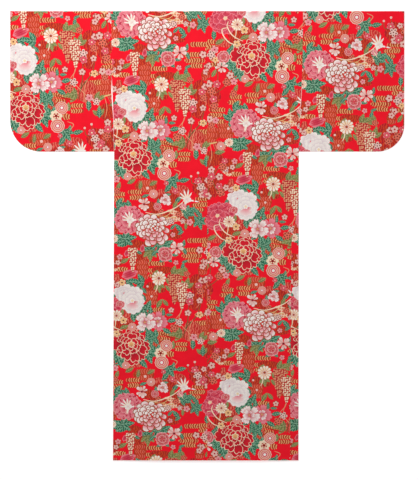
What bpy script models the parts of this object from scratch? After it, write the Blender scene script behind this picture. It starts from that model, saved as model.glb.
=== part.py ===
"""A cotton yukata laid out flat with its back upwards, as seven pieces of cloth.

X runs from the image's left sleeve to its right one, Y from the hem up to the shoulder line,
Z up from the surface that the garment lies on. The origin is the middle of the footprint.
The wearer's left is at -X: that front lies lowest, the right front lies over it, and the
back covers both. Every length is in metres.
"""

import math

import bmesh
import bpy

# Sizes of the garment, as a maker measures it flat
LENGTH = 1.573           # shoulder line to hem
SHOULDER_HALF = 0.336    # centre back to armhole seam, at the shoulder
SLEEVE_WIDTH = 0.354     # armhole seam to cuff
SLEEVE_DEPTH = 0.492     # shoulder line to the sleeve's bottom seam
CUFF_OPENING = 0.230     # the hand opening; the outer edge is sewn below it
ARMHOLE = 0.228          # the sleeve is sewn to the body down to here
CORNER_RADIUS = {"left": 0.108, "right": 0.094}   # the sleeves' rounded outer corners, as they lie
NECK_HALF = 0.085        # half of the neck slit, cut along the shoulder line
TIP_DEPTH = 0.240        # shoulder line to the tip of the front gore
TIP_FROM_CENTRE = 0.060  # the gore's seam, seen from the centre line
GORE_HEM = 0.150         # the gore's width at the hem
GORE_TOP = 0.140         # the gore's width where the collar ends
COLLAR_END = 0.830       # shoulder line to the collar's lower end
COLLAR_AT_NECK = 0.055
COLLAR_AT_TIP = 0.058
COLLAR_AT_END = 0.077

# Walls and clearances
CLOTH = 0.0010
COLLAR_WALL = 0.0020     # the collar is the cloth folded double over its seam allowances
COLLAR_ROUNDING = 0.0005 # of the collar's folded edges
GAP = 0.0003             # between two pieces at a seam, or lying on each other

# Heights of the layers' undersides
FRONT_HIGH = COLLAR_WALL + GAP               # the right front, over the left front's collar
BACK_HIGH = FRONT_HIGH + COLLAR_WALL + GAP   # the back, over the crossed collars
BACK_LOW = CLOTH + GAP                       # the back, where only one front lies under it
SLEEVE_TURN = (CLOTH + GAP) / 2              # radius of the half turn along a sleeve's edges

TOP = LENGTH / 2
FOLD_STEPS = 5

# How far the body's left and right side edges lie from the centre line, and how far the
# sleeve's free inner edge stands off them, at each depth below the shoulder line
SIDE_EDGE = (
    {"depth": 0.000, "left": SHOULDER_HALF, "right": SHOULDER_HALF, "stand_off": GAP},
    {"depth": 0.060, "left": 0.3357, "right": 0.3352, "stand_off": GAP},
    {"depth": 0.120, "left": 0.3352, "right": 0.3343, "stand_off": GAP},
    {"depth": ARMHOLE, "left": 0.3340, "right": 0.3320, "stand_off": GAP},
    {"depth": 0.276, "left": 0.3325, "right": 0.3300, "stand_off": 0.0036},
    {"depth": 0.325, "left": 0.3303, "right": 0.3272, "stand_off": 0.0030},
    {"depth": 0.375, "left": 0.3282, "right": 0.3245, "stand_off": 0.0010},
    {"depth": SLEEVE_DEPTH, "left": 0.3260, "right": 0.3204, "stand_off": 0.0006},
    {"depth": LENGTH, "left": 0.3300, "right": 0.3194, "stand_off": 0.0006},
)

# Depths of the body's rows, hem first, and distances of its columns from the centre line
BODY_DEPTHS = (LENGTH, 1.330, 1.080, COLLAR_END, 0.660, SLEEVE_DEPTH, 0.375, 0.325, 0.276,
               TIP_DEPTH, ARMHOLE, 0.120, 0.060, 0.025)
BODY_COLUMNS = (0.310, 0.280, 0.250, 0.220, 0.190, 0.165, 0.125, NECK_HALF)
BACK_NECK_COLUMNS = (0.045, GAP / 2)
PLATEAU_EDGE = 0.165     # the back and the right front are level up to here
BACK_FOOT = 0.325        # and reach their lower level here
FRONT_FOOT = 0.280

LEFT, RIGHT = -1, 1
SIDE_NAMES = {LEFT: "left", RIGHT: "right"}

COTTON = {"color": (0.86, 0.05, 0.06, 1.0), "roughness": 0.85, "metallic": 0.0}


def clear_scene():
    for thing in list(bpy.data.objects):
        bpy.data.objects.remove(thing)


def cloth_material(name):
    material = bpy.data.materials.new(name)
    material.use_nodes = True
    shader = material.node_tree.nodes["Principled BSDF"]
    shader.inputs["Base Color"].default_value = COTTON["color"]
    shader.inputs["Roughness"].default_value = COTTON["roughness"]
    shader.inputs["Metallic"].default_value = COTTON["metallic"]
    material.diffuse_color = COTTON["color"]
    return material


def smooth_fall(start, end, value):
    """1 before start, 0 after end, with a soft slope between."""
    share = min(max((value - start) / (end - start), 0.0), 1.0)
    return 1.0 - share * share * (3.0 - 2.0 * share)


def along_side(depth, column):
    """Reads SIDE_EDGE at a depth, in straight runs between its rows."""
    for upper, lower in zip(SIDE_EDGE, SIDE_EDGE[1:]):
        if depth <= lower["depth"]:
            share = (depth - upper["depth"]) / (lower["depth"] - upper["depth"])
            return upper[column] + share * (lower[column] - upper[column])
    return SIDE_EDGE[-1][column]


def back_underside(own_x):
    return BACK_LOW + (BACK_HIGH - BACK_LOW) * smooth_fall(PLATEAU_EDGE, BACK_FOOT, own_x)


def front_underside(side, own_x):
    """own_x is the distance from the centre line towards the piece's own side."""
    if side == LEFT:
        return 0.0
    return FRONT_HIGH * smooth_fall(PLATEAU_EDGE, FRONT_FOOT, own_x)


def fold_point(angle, upper, lower, edge):
    """A point of the half turn from an upper layer to a lower one, as (y, z) of the wall's middle.

    edge is the y that the outside of the turn reaches."""
    radius = (upper - lower) / 2
    centre_y = edge - CLOTH / 2 - radius
    return centre_y + radius * math.cos(angle), (upper + lower) / 2 + radius * math.sin(angle)


def fold_angles():
    """From the upper layer's end at a quarter turn up to the lower layer's."""
    return [math.pi / 2 - math.pi * step / FOLD_STEPS for step in range(FOLD_STEPS + 1)]


def grid_surface(columns, rows, place, kept=None):
    """An open surface of columns by rows points, each put where place(column, row) says."""
    mesh = bmesh.new()
    bmesh.ops.create_grid(mesh, x_segments=columns - 1, y_segments=rows - 1, size=0.5)
    index = {}
    for vertex in mesh.verts:
        column = round((vertex.co.x + 0.5) * (columns - 1))
        row = round((vertex.co.y + 0.5) * (rows - 1))
        index[vertex] = (column, row)
    if kept is not None:
        unwanted = [f for f in mesh.faces if not all(kept(*index[v]) for v in f.verts)]
        bmesh.ops.delete(mesh, geom=unwanted, context="FACES")
    at = {}
    for vertex in mesh.verts:
        vertex.co = place(*index[vertex])
        at[index[vertex]] = vertex
    return mesh, at


def add_cloth(name, mesh, material, collection, wall=CLOTH):
    """Turns an open surface into a cloth wall, half of it on each side of the surface."""
    bmesh.ops.remove_doubles(mesh, verts=mesh.verts, dist=GAP / 10)
    bmesh.ops.recalc_face_normals(mesh, faces=mesh.faces)
    data = bpy.data.meshes.new(name)
    mesh.to_mesh(data)
    mesh.free()
    piece = bpy.data.objects.new(name, data)
    piece.data.materials.append(material)
    collection.objects.link(piece)
    solid = piece.modifiers.new("wall", "SOLIDIFY")
    solid.thickness = wall
    solid.offset = 0.0
    solid.use_even_offset = True
    return piece


def front_edge(depth):
    """Where the front strip ends: at the collar seam, and below the gore's tip at its seam."""
    share = min(depth / TIP_DEPTH, 1.0)
    return NECK_HALF + share * (TIP_FROM_CENTRE - NECK_HALF)


def build_body(side, material, collection):
    """One strip of cloth from the back hem over the shoulder to the front hem."""
    angles = fold_angles()
    back_rows = len(BODY_DEPTHS)
    first_front_row = back_rows + len(angles)
    rows = first_front_row + len(BODY_DEPTHS)
    distances = (None,) + BODY_COLUMNS + BACK_NECK_COLUMNS
    neck_column = len(BODY_COLUMNS)

    def place(column, row):
        on_back = row < back_rows
        on_front = row >= first_front_row
        depth = 0.0
        if on_back:
            depth = BODY_DEPTHS[row]
        elif on_front:
            depth = BODY_DEPTHS[rows - 1 - row]
        own_x = distances[column]
        if column == 0:
            own_x = along_side(depth, SIDE_NAMES[side])
        elif on_front and column == neck_column:
            own_x = front_edge(depth)
        upper = back_underside(own_x) + CLOTH / 2
        lower = front_underside(side, own_x) + CLOTH / 2
        if on_back:
            return side * own_x, TOP - depth, upper
        if on_front:
            return side * own_x, TOP - depth, lower
        if column > neck_column:
            return side * own_x, TOP, upper
        y, z = fold_point(angles[row - back_rows], upper, lower, TOP)
        return side * own_x, y, z

    def kept(column, row):
        return column <= neck_column or row <= back_rows

    mesh, _ = grid_surface(len(distances), rows, place, kept)
    return add_cloth("body_" + SIDE_NAMES[side], mesh, material, collection)


def sleeve_stations(side):
    """Stations along the sleeve's sewn edge, from the armhole round the corner to the cuff.

    Each gives the point of the edge, taken in by the half turn that closes it, and the
    direction in which that half turn bulges."""
    taken_in = CLOTH / 2 + SLEEVE_TURN
    radius = CORNER_RADIUS[SIDE_NAMES[side]]
    centre_x = SHOULDER_HALF + SLEEVE_WIDTH - radius
    centre_depth = SLEEVE_DEPTH - radius
    bottom = SLEEVE_DEPTH - taken_in
    stations = [{"x": None, "depth": bottom, "out": 0.0}]
    straight_steps = 5
    for step in range(1, straight_steps + 1):
        x = SHOULDER_HALF + (centre_x - SHOULDER_HALF) * step / straight_steps
        stations.append({"x": x, "depth": bottom, "out": 0.0})
    corner_steps = 9
    for step in range(1, corner_steps + 1):
        turn = math.pi / 2 * step / corner_steps
        x = centre_x + (radius - taken_in) * math.sin(turn)
        depth = centre_depth + (radius - taken_in) * math.cos(turn)
        stations.append({"x": x, "depth": depth, "out": turn})
    return stations


def build_sleeve(side, material, collection):
    """A flattened bag: folded along the shoulder line, sewn below and outside, open at the
    hand, at the armhole and down its free inner edge."""
    stations = sleeve_stations(side)
    depths = [0.060, 0.120, CUFF_OPENING, 0.276, 0.325, 0.375]
    angles = fold_angles()
    middle = (BACK_LOW + CLOTH) / 2
    upper, lower = middle + SLEEVE_TURN, middle - SLEEVE_TURN
    ring = [("top", a) for a in reversed(angles)]
    ring += [("back", d) for d in depths]
    ring += [("bottom", a) for a in angles]
    ring += [("front", d) for d in reversed(depths)]
    ring.append(ring[0])

    def place(column, row):
        kind, value = ring[row]
        station = stations[column]
        x = station["x"]
        bulge = 0.0
        if kind == "top":
            y, z = fold_point(value, upper, lower, TOP)
        elif kind == "bottom":
            bulge = SLEEVE_TURN * math.cos(value)
            y = TOP - station["depth"] - bulge * math.cos(station["out"])
            z = middle + SLEEVE_TURN * math.sin(value)
        else:
            y, z = TOP - value, upper if kind == "back" else lower
        if x is None:
            depth = TOP - y
            x = along_side(depth, SIDE_NAMES[side]) + along_side(depth, "stand_off")
        return side * (x + bulge * math.sin(station["out"])), y, z

    mesh, at = grid_surface(len(stations), len(ring), place)
    cuff_edge = [at[len(stations) - 1, row] for row in range(len(ring))]
    close_below_hand(mesh, cuff_edge, ring, side)
    return add_cloth("sleeve_" + SIDE_NAMES[side], mesh, material, collection)


def close_below_hand(mesh, cuff_edge, ring, side):
    """Sews the outer edge from the hand opening down to the corner with the same half turn."""
    bottom = [v for v, (kind, _) in zip(cuff_edge, ring) if kind == "bottom"]
    back = [v for v, (kind, d) in zip(cuff_edge, ring) if kind == "back" and d >= CUFF_OPENING]
    front = [v for v, (kind, d) in zip(cuff_edge, ring) if kind == "front" and d >= CUFF_OPENING]
    middle = (BACK_LOW + CLOTH) / 2
    turns = []
    for upper, lower in zip(back, reversed(front)):
        turn = [upper]
        for angle in fold_angles()[1:-1]:
            x = upper.co.x + side * SLEEVE_TURN * math.cos(angle)
            turn.append(mesh.verts.new((x, upper.co.y, middle + SLEEVE_TURN * math.sin(angle))))
        turn.append(lower)
        turns.append(turn)
    turns.append(bottom)
    for above, below in zip(turns, turns[1:]):
        for step in range(len(above) - 1):
            mesh.faces.new((above[step], below[step], below[step + 1], above[step + 1]))


def gore_outer_edge(depth):
    """The gore's front edge, and above the collar's end the line where the collar is sewn."""
    if depth >= COLLAR_END:
        share = (depth - COLLAR_END) / (LENGTH - COLLAR_END)
        return TIP_FROM_CENTRE - GORE_TOP - share * (GORE_HEM - GORE_TOP)
    return collar_seam(depth) + GAP


def collar_seam(depth):
    """The collar's sewn edge on the front, as a distance towards the piece's own side."""
    if depth <= TIP_DEPTH:
        return front_edge(depth) - GAP
    share = (depth - TIP_DEPTH) / (COLLAR_END - TIP_DEPTH)
    return TIP_FROM_CENTRE - GAP - share * GORE_TOP


def build_gore(side, material, collection):
    """The narrow gore between the front strip and the front opening."""
    tip_cut = 0.016      # the tip is cut square here, where it is a few millimetres wide
    depths = (LENGTH, 1.330, 1.080, COLLAR_END + GAP, COLLAR_END, 0.660, 0.500, 0.375,
              0.300, TIP_DEPTH + tip_cut)
    across = 4

    def place(column, row):
        depth = depths[row]
        inner = TIP_FROM_CENTRE - GAP
        outer = gore_outer_edge(depth)
        own_x = inner + (outer - inner) * column / (across - 1)
        return side * own_x, TOP - depth, front_underside(side, own_x) + CLOTH / 2

    mesh, _ = grid_surface(across, len(depths), place)
    return add_cloth("okumi_" + SIDE_NAMES[side], mesh, material, collection)


def collar_width(depth):
    if depth <= TIP_DEPTH:
        return COLLAR_AT_NECK + (COLLAR_AT_TIP - COLLAR_AT_NECK) * depth / TIP_DEPTH
    share = (depth - TIP_DEPTH) / (COLLAR_END - TIP_DEPTH)
    return COLLAR_AT_TIP + share * (COLLAR_AT_END - COLLAR_AT_TIP)


def collar_sections():
    """Sections from the left end round the neck to the right end: sewn edge, free edge, height."""
    neck_line = 0.0008           # the neck seam lies just under the back's edge
    settled = 0.200              # the left arm has come down to the surface here
    arm_depths = (0.100, 0.150, settled, TIP_DEPTH, 0.330, 0.430, 0.530, 0.630, 0.730, COLLAR_END)

    def arm(side, depth):
        height = FRONT_HIGH
        if side == LEFT:
            height = FRONT_HIGH * smooth_fall(COLLAR_AT_NECK, settled, depth)
        sewn = collar_seam(depth)
        free = sewn - collar_width(depth)
        return {"sewn": (side * sewn, depth), "free": (side * free, depth), "height": height}

    def corner(side):
        sewn = (side * (NECK_HALF - GAP), neck_line)
        free = (side * (NECK_HALF - COLLAR_AT_NECK), COLLAR_AT_NECK)
        return {"sewn": sewn, "free": free, "height": FRONT_HIGH}

    middle = {"sewn": (0.0, neck_line), "free": (0.0, COLLAR_AT_NECK), "height": FRONT_HIGH}
    left = [arm(LEFT, depth) for depth in reversed(arm_depths)]
    right = [arm(RIGHT, depth) for depth in arm_depths]
    return left + [corner(LEFT), middle, corner(RIGHT)] + right


def build_collar(material, collection):
    """One folded strip from the left front round the back of the neck to the right front."""
    sections = collar_sections()
    across = 3

    def place(column, row):
        section = sections[row]
        share = column / (across - 1)
        x = section["sewn"][0] + share * (section["free"][0] - section["sewn"][0])
        depth = section["sewn"][1] + share * (section["free"][1] - section["sewn"][1])
        return x, TOP - depth, section["height"] + COLLAR_WALL / 2

    mesh, _ = grid_surface(across, len(sections), place)
    piece = add_cloth("collar", mesh, material, collection, wall=COLLAR_WALL)
    rounded = piece.modifiers.new("rounded edges", "BEVEL")
    rounded.width = COLLAR_ROUNDING
    rounded.segments = 2
    rounded.limit_method = "ANGLE"
    rounded.angle_limit = math.radians(40)
    return piece


def main():
    clear_scene()
    collection = bpy.data.collections.new("yukata")
    bpy.context.scene.collection.children.link(collection)
    for side in (LEFT, RIGHT):
        name = SIDE_NAMES[side]
        build_body(side, cloth_material("body_cotton_" + name), collection)
        build_sleeve(side, cloth_material("sleeve_cotton_" + name), collection)
        build_gore(side, cloth_material("okumi_cotton_" + name), collection)
    build_collar(cloth_material("collar_cotton"), collection)


main()
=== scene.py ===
"""The looks of a cotton yukata laid out flat with its back upwards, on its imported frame.

Each piece of cloth is a thin closed shell. Its outer side is divided along the edges of
the printed motifs, so that every area of ink is a patch of faces with its own colours.
"""

import math
import random
from functools import partial

import bpy
import numpy as np
from bpy.props import FloatProperty, FloatVectorProperty, PointerProperty
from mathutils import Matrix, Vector
from mathutils.bvhtree import BVHTree
from mathutils.geometry import delaunay_2d_cdt


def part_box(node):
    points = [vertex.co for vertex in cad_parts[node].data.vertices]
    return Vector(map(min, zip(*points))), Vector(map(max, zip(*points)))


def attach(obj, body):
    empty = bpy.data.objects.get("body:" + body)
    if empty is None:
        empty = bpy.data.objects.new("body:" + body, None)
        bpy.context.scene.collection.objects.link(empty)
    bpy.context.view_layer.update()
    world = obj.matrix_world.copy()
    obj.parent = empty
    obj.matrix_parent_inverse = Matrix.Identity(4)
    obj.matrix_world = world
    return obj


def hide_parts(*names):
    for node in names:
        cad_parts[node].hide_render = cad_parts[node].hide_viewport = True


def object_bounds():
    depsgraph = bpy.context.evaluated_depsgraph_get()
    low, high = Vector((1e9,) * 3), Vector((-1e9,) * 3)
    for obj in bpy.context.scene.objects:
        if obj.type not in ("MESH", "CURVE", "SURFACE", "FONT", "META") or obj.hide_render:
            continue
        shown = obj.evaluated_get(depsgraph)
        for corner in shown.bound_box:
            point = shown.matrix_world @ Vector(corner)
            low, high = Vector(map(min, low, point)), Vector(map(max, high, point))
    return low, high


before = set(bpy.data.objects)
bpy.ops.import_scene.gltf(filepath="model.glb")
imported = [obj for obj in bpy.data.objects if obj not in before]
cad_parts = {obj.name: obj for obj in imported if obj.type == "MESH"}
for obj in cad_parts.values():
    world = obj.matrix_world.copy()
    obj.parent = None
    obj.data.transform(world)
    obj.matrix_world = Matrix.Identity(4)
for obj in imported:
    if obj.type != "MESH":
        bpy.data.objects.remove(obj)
CAD_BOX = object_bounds()

bl_info = {
    "name": "Printed cotton yukata",
    "version": (1, 0, 0),
    "blender": (4, 5, 0),
    "location": "3D View > Sidebar > Yukata",
    "description": "Builds the looks of a yukata laid out flat",
    "category": "Object",
}

MM = 0.001
LEFT, RIGHT = -1, 1
SIDE_NAMES = {LEFT: "left", RIGHT: "right"}

# Sizes of the garment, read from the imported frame
BODY_LOW, BODY_HIGH = (Vector(corner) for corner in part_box("body_right"))
SLEEVE_LOW, SLEEVE_HIGH = (Vector(corner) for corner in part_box("sleeve_right"))
TOP = BODY_HIGH.y                            # the shoulder line
LENGTH = BODY_HIGH.y - BODY_LOW.y
SHOULDER_HALF = BODY_HIGH.x
CUFF_FROM_CENTRE = SLEEVE_HIGH.x
SLEEVE_DEPTH = SLEEVE_HIGH.y - SLEEVE_LOW.y

# Sizes of the garment that the frame's boxes don't give
GAP = 0.3 * MM
LAYER = 1.0 * MM                             # the height that a layer of cloth takes up
ARMHOLE = 0.228
SIDE_OPENING_END = 0.360                     # the body's side seam starts here, under the arm
CUFF_OPENING = 0.230
CORNER_RADIUS = {LEFT: 0.108, RIGHT: 0.094}
CORNER_STEPS = 14
NECK_HALF = 0.085
TIP_DEPTH = 0.240
TIP_CUT = 0.016
TIP_FROM_CENTRE = 0.060
GORE_TOP, GORE_HEM = 0.140, 0.150
COLLAR_END = 0.830
COLLAR_WALL = 2.0 * MM
COLLAR_AT_NECK, COLLAR_AT_TIP, COLLAR_AT_END = 0.055, 0.058, 0.077
FRONT_HIGH = COLLAR_WALL + GAP
BACK_HIGH = FRONT_HIGH + COLLAR_WALL + GAP
BACK_LOW = LAYER + GAP
PLATEAU_EDGE, BACK_FOOT, FRONT_FOOT = 0.165, 0.325, 0.280

# The body's side edges: depth below the shoulder line, the left and the right edge's distance
# from the centre, and how far the sleeve's inner edge stands off them
SIDE_EDGE = np.array((
    (0.000, SHOULDER_HALF, SHOULDER_HALF, GAP),
    (0.060, 0.3357, 0.3352, GAP),
    (0.120, 0.3352, 0.3343, GAP),
    (ARMHOLE, 0.3340, 0.3320, GAP),
    (0.276, 0.3325, 0.3300, 0.0036),
    (0.325, 0.3303, 0.3272, 0.0030),
    (0.375, 0.3282, 0.3245, 0.0010),
    (SLEEVE_DEPTH, 0.3260, 0.3204, 0.0006),
    (LENGTH, 0.3300, 0.3194, 0.0006),
))
SLEEVE_DEPTHS = SIDE_EDGE[:-1, 0]            # where the sleeve's inner edge has its corners
LONG_SIDE_DEPTHS = 0.8, 1.2                  # more corners down the body's long straight side

# The right side seam lies on the back below the hip, and beyond it the front's cloth comes round:
# depth below the shoulder line, and how far the seam is from the side edge
SIDE_SEAM = ((0.660, 0.0), (0.710, 0.006), (0.760, 0.017), (0.815, 0.026), (LENGTH, 0.029))

# The right sleeve's free edge lies closer to the body than the solid's
FREE_EDGE_SHARE = {LEFT: 1.0, RIGHT: 0.35}

# Colour

def linear(hex_colour):
    """An sRGB hex value as linear red, green and blue."""
    channels = (int(hex_colour[i:i + 2], 16) / 255 for i in (0, 2, 4))
    return tuple(c / 12.92 if c <= 0.04045 else ((c + 0.055) / 1.055) ** 2.4 for c in channels)


def ink(name, description, hex_colour):
    return FloatVectorProperty(name=name, description=description, default=linear(hex_colour),
                               subtype="COLOR", size=3, min=0.0, max=1.0)


class PrintInks(bpy.types.PropertyGroup):
    """The printing inks."""

    red: ink("Ground red", "Plain ground of the print", "FF142A")
    scarlet: ink("Scarlet", "Lit petals of the red peony", "E02030")
    crimson: ink("Crimson", "Petals of the red peony", "C01C2C")
    maroon: ink("Maroon", "Dark dots and shadows", "76231E")
    white: ink("White", "White petals", "FFF8F1")
    cream: ink("Cream", "Outlines and cream flowers", "FFE6C6")
    mist: ink("Mist", "Shadows of the white petals", "EADADC")
    magenta: ink("Magenta", "Dark marks of the pink petals", "CE2C4A")
    blush: ink("Blush", "Palest pink petals", "F6CCC0")
    pink: ink("Pink", "Light pink petals", "F58C98")
    rose: ink("Rose", "Full pink petals", "E64C5C")
    salmon: ink("Salmon", "Salmon grounds and flowers", "EC7660")
    coral: ink("Coral", "Lines on salmon grounds", "C8392F")
    peach: ink("Peach", "Soft orange lines", "EBA27A")
    orange: ink("Orange", "Ground of the ripples", "DC4826")
    rust: ink("Rust", "Dark lines between the ripples", "B4381E")
    gold: ink("Gold", "Gold ripples", "FABC7C")
    straw: ink("Straw", "Pale gold lines", "EFC483")
    brown: ink("Brown", "Outlines of the white chrysanthemum", "B44E2E")
    teal: ink("Teal", "Leaves", "307C5C")
    pine: ink("Pine", "Dark half of the leaves", "264A36")
    mint: ink("Mint", "Veins of the leaves", "92BFA0")
    olive: ink("Olive", "Olive leaves", "858A4E")
    moss: ink("Moss", "Dark half of the olive leaves", "5C6238")
    sage: ink("Sage", "Veins of the olive leaves", "AFAA74")


class ClothSizes(bpy.types.PropertyGroup):
    """How the cloth is made and how it lies."""

    wall: FloatProperty(name="Cloth", description="Thickness of the cloth",
                        default=0.7 * MM, min=0.2 * MM, max=1.0 * MM, unit="LENGTH")
    seam_dip: FloatProperty(name="Seam dip", description="How far the cloth dips at a seam",
                            default=0.45 * MM, min=0.0, max=0.8 * MM, unit="LENGTH")
    seam_width: FloatProperty(name="Seam roll", description="Width of the soft roll beside a seam",
                              default=2.4 * MM, min=1 * MM, max=6 * MM, unit="LENGTH")
    hem_width: FloatProperty(name="Hem", description="Width of the folded hem",
                             default=12 * MM, min=4 * MM, max=40 * MM, unit="LENGTH")
    hem_rise: FloatProperty(name="Hem rise", description="How far the folded hem stands up",
                            default=0.3 * MM, min=0.0, max=1 * MM, unit="LENGTH")
    unevenness: FloatProperty(name="Unevenness", description="Height of the soft waves of the laid cloth",
                              default=0.35 * MM, min=0.0, max=0.5 * MM, unit="LENGTH")
    thread: FloatProperty(name="Thread spacing", description="Distance between the woven threads, as drawn",
                          default=1.2 * MM, min=0.3 * MM, max=3 * MM, unit="LENGTH")


class StageSizes(bpy.types.PropertyGroup):
    """The camera's view, the floor and the light."""

    view_height: FloatProperty(name="View height", description="What the view takes in, top to bottom",
                               default=1.680, min=0.5, max=4.0, unit="LENGTH")
    distance: FloatProperty(name="Camera distance", description="Height of the camera over the floor",
                            default=9.0, min=2.0, max=20.0, unit="LENGTH")
    floor: ink("Floor", "Pale studio floor", "F4F4F4")
    floor_glow: FloatProperty(name="Floor glow", description="Light that the floor itself gives off",
                              default=0.42, min=0.0, max=1.0)
    daylight: FloatProperty(name="Daylight", description="Even light from all round", default=0.52,
                            min=0.0, max=2.0)
    key_power: FloatProperty(name="Key light", description="Power of the lamp over the upper left",
                             default=28.0, min=0.0, max=100.0, unit="POWER")


# The print's drawing. Lengths are in squares of the chart, angles in radians.

SQUARE = 3.5 * MM            # one square of the chart, which is also one pixel of the photograph
PLAIN, RIPPLES, SWIRLS, FLORETS, VEINS, STREAKS, NET = range(7)    # how an area of ink is filled
PETAL_STEPS = 4              # points along each lobe of a petal's rim
PLAIN_RIM_POINTS = 7         # and along a rim without lobes


def polar(reach, angle):
    """Points at distances and angles from +Y, clockwise."""
    return np.stack([reach * np.sin(angle), reach * np.cos(angle)], axis=1)


def turned(points, angle):
    """Points turned clockwise."""
    c, s = math.cos(angle), math.sin(angle)
    return points @ np.array([[c, -s], [s, c]])


def disc(radius, steps, at=(0.0, 0.0)):
    """A round outline of straight steps."""
    return polar(radius, np.arange(steps) * 2 * math.pi / steps) + np.array(at)


def lobed(radius, lobes, depth, per_lobe=4, phase=0.0):
    """A round outline of soft lobes."""
    angle = np.arange(lobes * per_lobe) * 2 * math.pi / (lobes * per_lobe)
    between = 1 - np.abs(np.cos(lobes * angle / 2))
    return polar(radius * (1 - depth * between ** 1.4), angle + phase)


def petal(inner, outer, spread, lobes=3, frill=0.10, drop=0.16):
    """A petal along +Y with a frilled rim."""
    share = np.linspace(-1, 1, PETAL_STEPS * lobes + 1 if lobes > 1 else PLAIN_RIM_POINTS)
    cusps = 1 - np.abs(np.sin(lobes * math.pi * (share + 1) / 2)) if lobes > 1 else 0.0
    reach = outer * (1 - drop * np.abs(share) ** 3) * (1 - frill * cusps)
    foot = polar(np.array([inner, inner]), np.array([0.5, -0.5]) * spread)
    return np.concatenate([polar(reach, share * spread), foot])


def leaf_outline(length, half_width, teeth=4):
    """A pointed leaf along +Y with a toothed edge."""
    steps = 2 * teeth
    share = np.arange(1, steps) / steps
    width = half_width * np.sin(math.pi * share ** 0.85) ** 0.8
    width = width * np.where(np.arange(1, steps) % 2, 1.0, 0.80)
    right = np.stack([width, share * length], axis=1)
    left = right[::-1] * np.array([-1.0, 1.0])
    return np.concatenate([[[0.0, 0.0]], right, [[0.0, length]], left])


class Area:
    """One flat area of the print: its outline, its inks and its own axes."""

    def __init__(self, outline, near, far=None, reach=(0.0, 1.0), fill=PLAIN, line=None, turn=0.0,
                 centre=(0.0, 0.0), unit=None):
        x, y = np.asarray(outline, float).T
        turning = np.dot(x, np.roll(y, -1)) - np.dot(y, np.roll(x, -1))
        self.outline = np.stack([x, y], axis=1)[::1 if turning >= 0 else -1]     # anticlockwise
        self.near, self.far, self.line = near, far or near, line or near
        self.reach = reach              # where near turns to far, from the centre outwards
        self.fill = fill
        self.turn = turn
        self.centre = np.asarray(centre, float)
        self.unit = unit                # what the fill takes as 1 across and along; None is a square

    def placed(self, size, turn, place, tall=1.0, shift=(0, 0)):
        """A copy at its place in the chart."""
        grow = np.array([size, size * tall])
        outline = turned(self.outline * grow, turn) + place
        centre = turned(self.centre[None] * grow, turn)[0] + place
        reach = (self.reach[0] * size, self.reach[1] * size)
        unit = self.unit and (self.unit[0] * size, self.unit[1] * size * tall)
        return Area(outline + shift, self.near, self.far, reach, self.fill, self.line,
                    self.turn + turn, centre + shift, unit)


def ring_of_petals(dice, count, inner, outer, spread, near, far, rim, rim_width, lobes=3, frill=0.10,
                   drop=0.16, fill=STREAKS, line=None, jitter=0.07, shown=(-0.32, -0.14)):
    """Overlapping petals round a centre, each with a rim of another ink.

    Near turns to far between the two reaches in shown; those below zero are from the tips inwards.
    """
    areas = []
    start = dice.uniform(0, 2 * math.pi)
    for step in range(count):
        angle = start + 2 * math.pi * (step + dice.uniform(-1.5, 1.5) * jitter) / count
        long = outer * (1 + dice.uniform(-1, 1) * jitter)
        wide = math.pi / count * spread * (1 + dice.uniform(-1, 1) * jitter)
        areas.append(Area(turned(petal(inner, long, wide, lobes, frill, drop), angle), rim, turn=angle))
        body = petal(inner + rim_width, long - rim_width, wide - rim_width / long, lobes, frill, drop)
        reach = tuple(at + outer if at < 0 else at for at in shown)
        areas.append(Area(turned(body, angle), near, far, reach, fill, line, angle))
    return areas


def peony(dice, near, far, rim, rim_width, line, rings, jitter=0.09):
    """Rings of frilled petals: count, inner and outer reach, spread, lobes."""
    areas = []
    for count, inner, outer, spread, lobes in rings:
        areas += ring_of_petals(dice, count, inner, outer, spread, near, far, rim, rim_width, lobes,
                                line=line, jitter=jitter)
    return areas


def seen_from_below(areas, shift):
    """Moves the middle of a flower up, so that its lower petals are the larger ones."""
    for area in areas:
        reach = np.linalg.norm(area.outline, axis=1)
        area.outline[:, 1] += shift * (1 - np.minimum(reach, 1.0) ** 2)
    return areas


# Rings of petals, from the outermost: how many, their inner and outer reach, spread and lobes
FULL_RINGS = ((8, 0.50, 1.03, 1.15, 3), (8, 0.36, 0.82, 1.05, 2), (7, 0.20, 0.62, 1.05, 2),
              (5, 0.08, 0.40, 1.10, 2))
LOOSE_RINGS = ((7, 0.30, 1.04, 1.40, 3), (6, 0.20, 0.78, 1.35, 3), (5, 0.08, 0.52, 1.30, 2))
FRILLED_RINGS = ((7, 0.42, 1.03, 1.35, 3), (6, 0.28, 0.80, 1.30, 2), (5, 0.12, 0.55, 1.20, 2))
ROSETTE_RINGS = ((6, 0.25, 1.03, 1.40, 3), (5, 0.10, 0.66, 1.30, 2))

# The same for the chrysanthemum, whose petals are all of one form
SCALE_RINGS = ((13, 0.60, 1.03), (12, 0.46, 0.87), (11, 0.34, 0.71), (9, 0.22, 0.55), (7, 0.12, 0.38),
               (4, 0.02, 0.22))


def red_peony(dice):
    """Red petals outlined in cream round a gold heart."""
    areas = peony(dice, "crimson", "scarlet", "cream", 0.030, "crimson", FULL_RINGS, 0.16)
    areas.append(Area(lobed(0.20, 6, 0.3), "cream"))
    areas.append(Area(lobed(0.155, 6, 0.35), "brown", "gold", (0.0, 0.15)))
    return seen_from_below(areas, 0.14)


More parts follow.
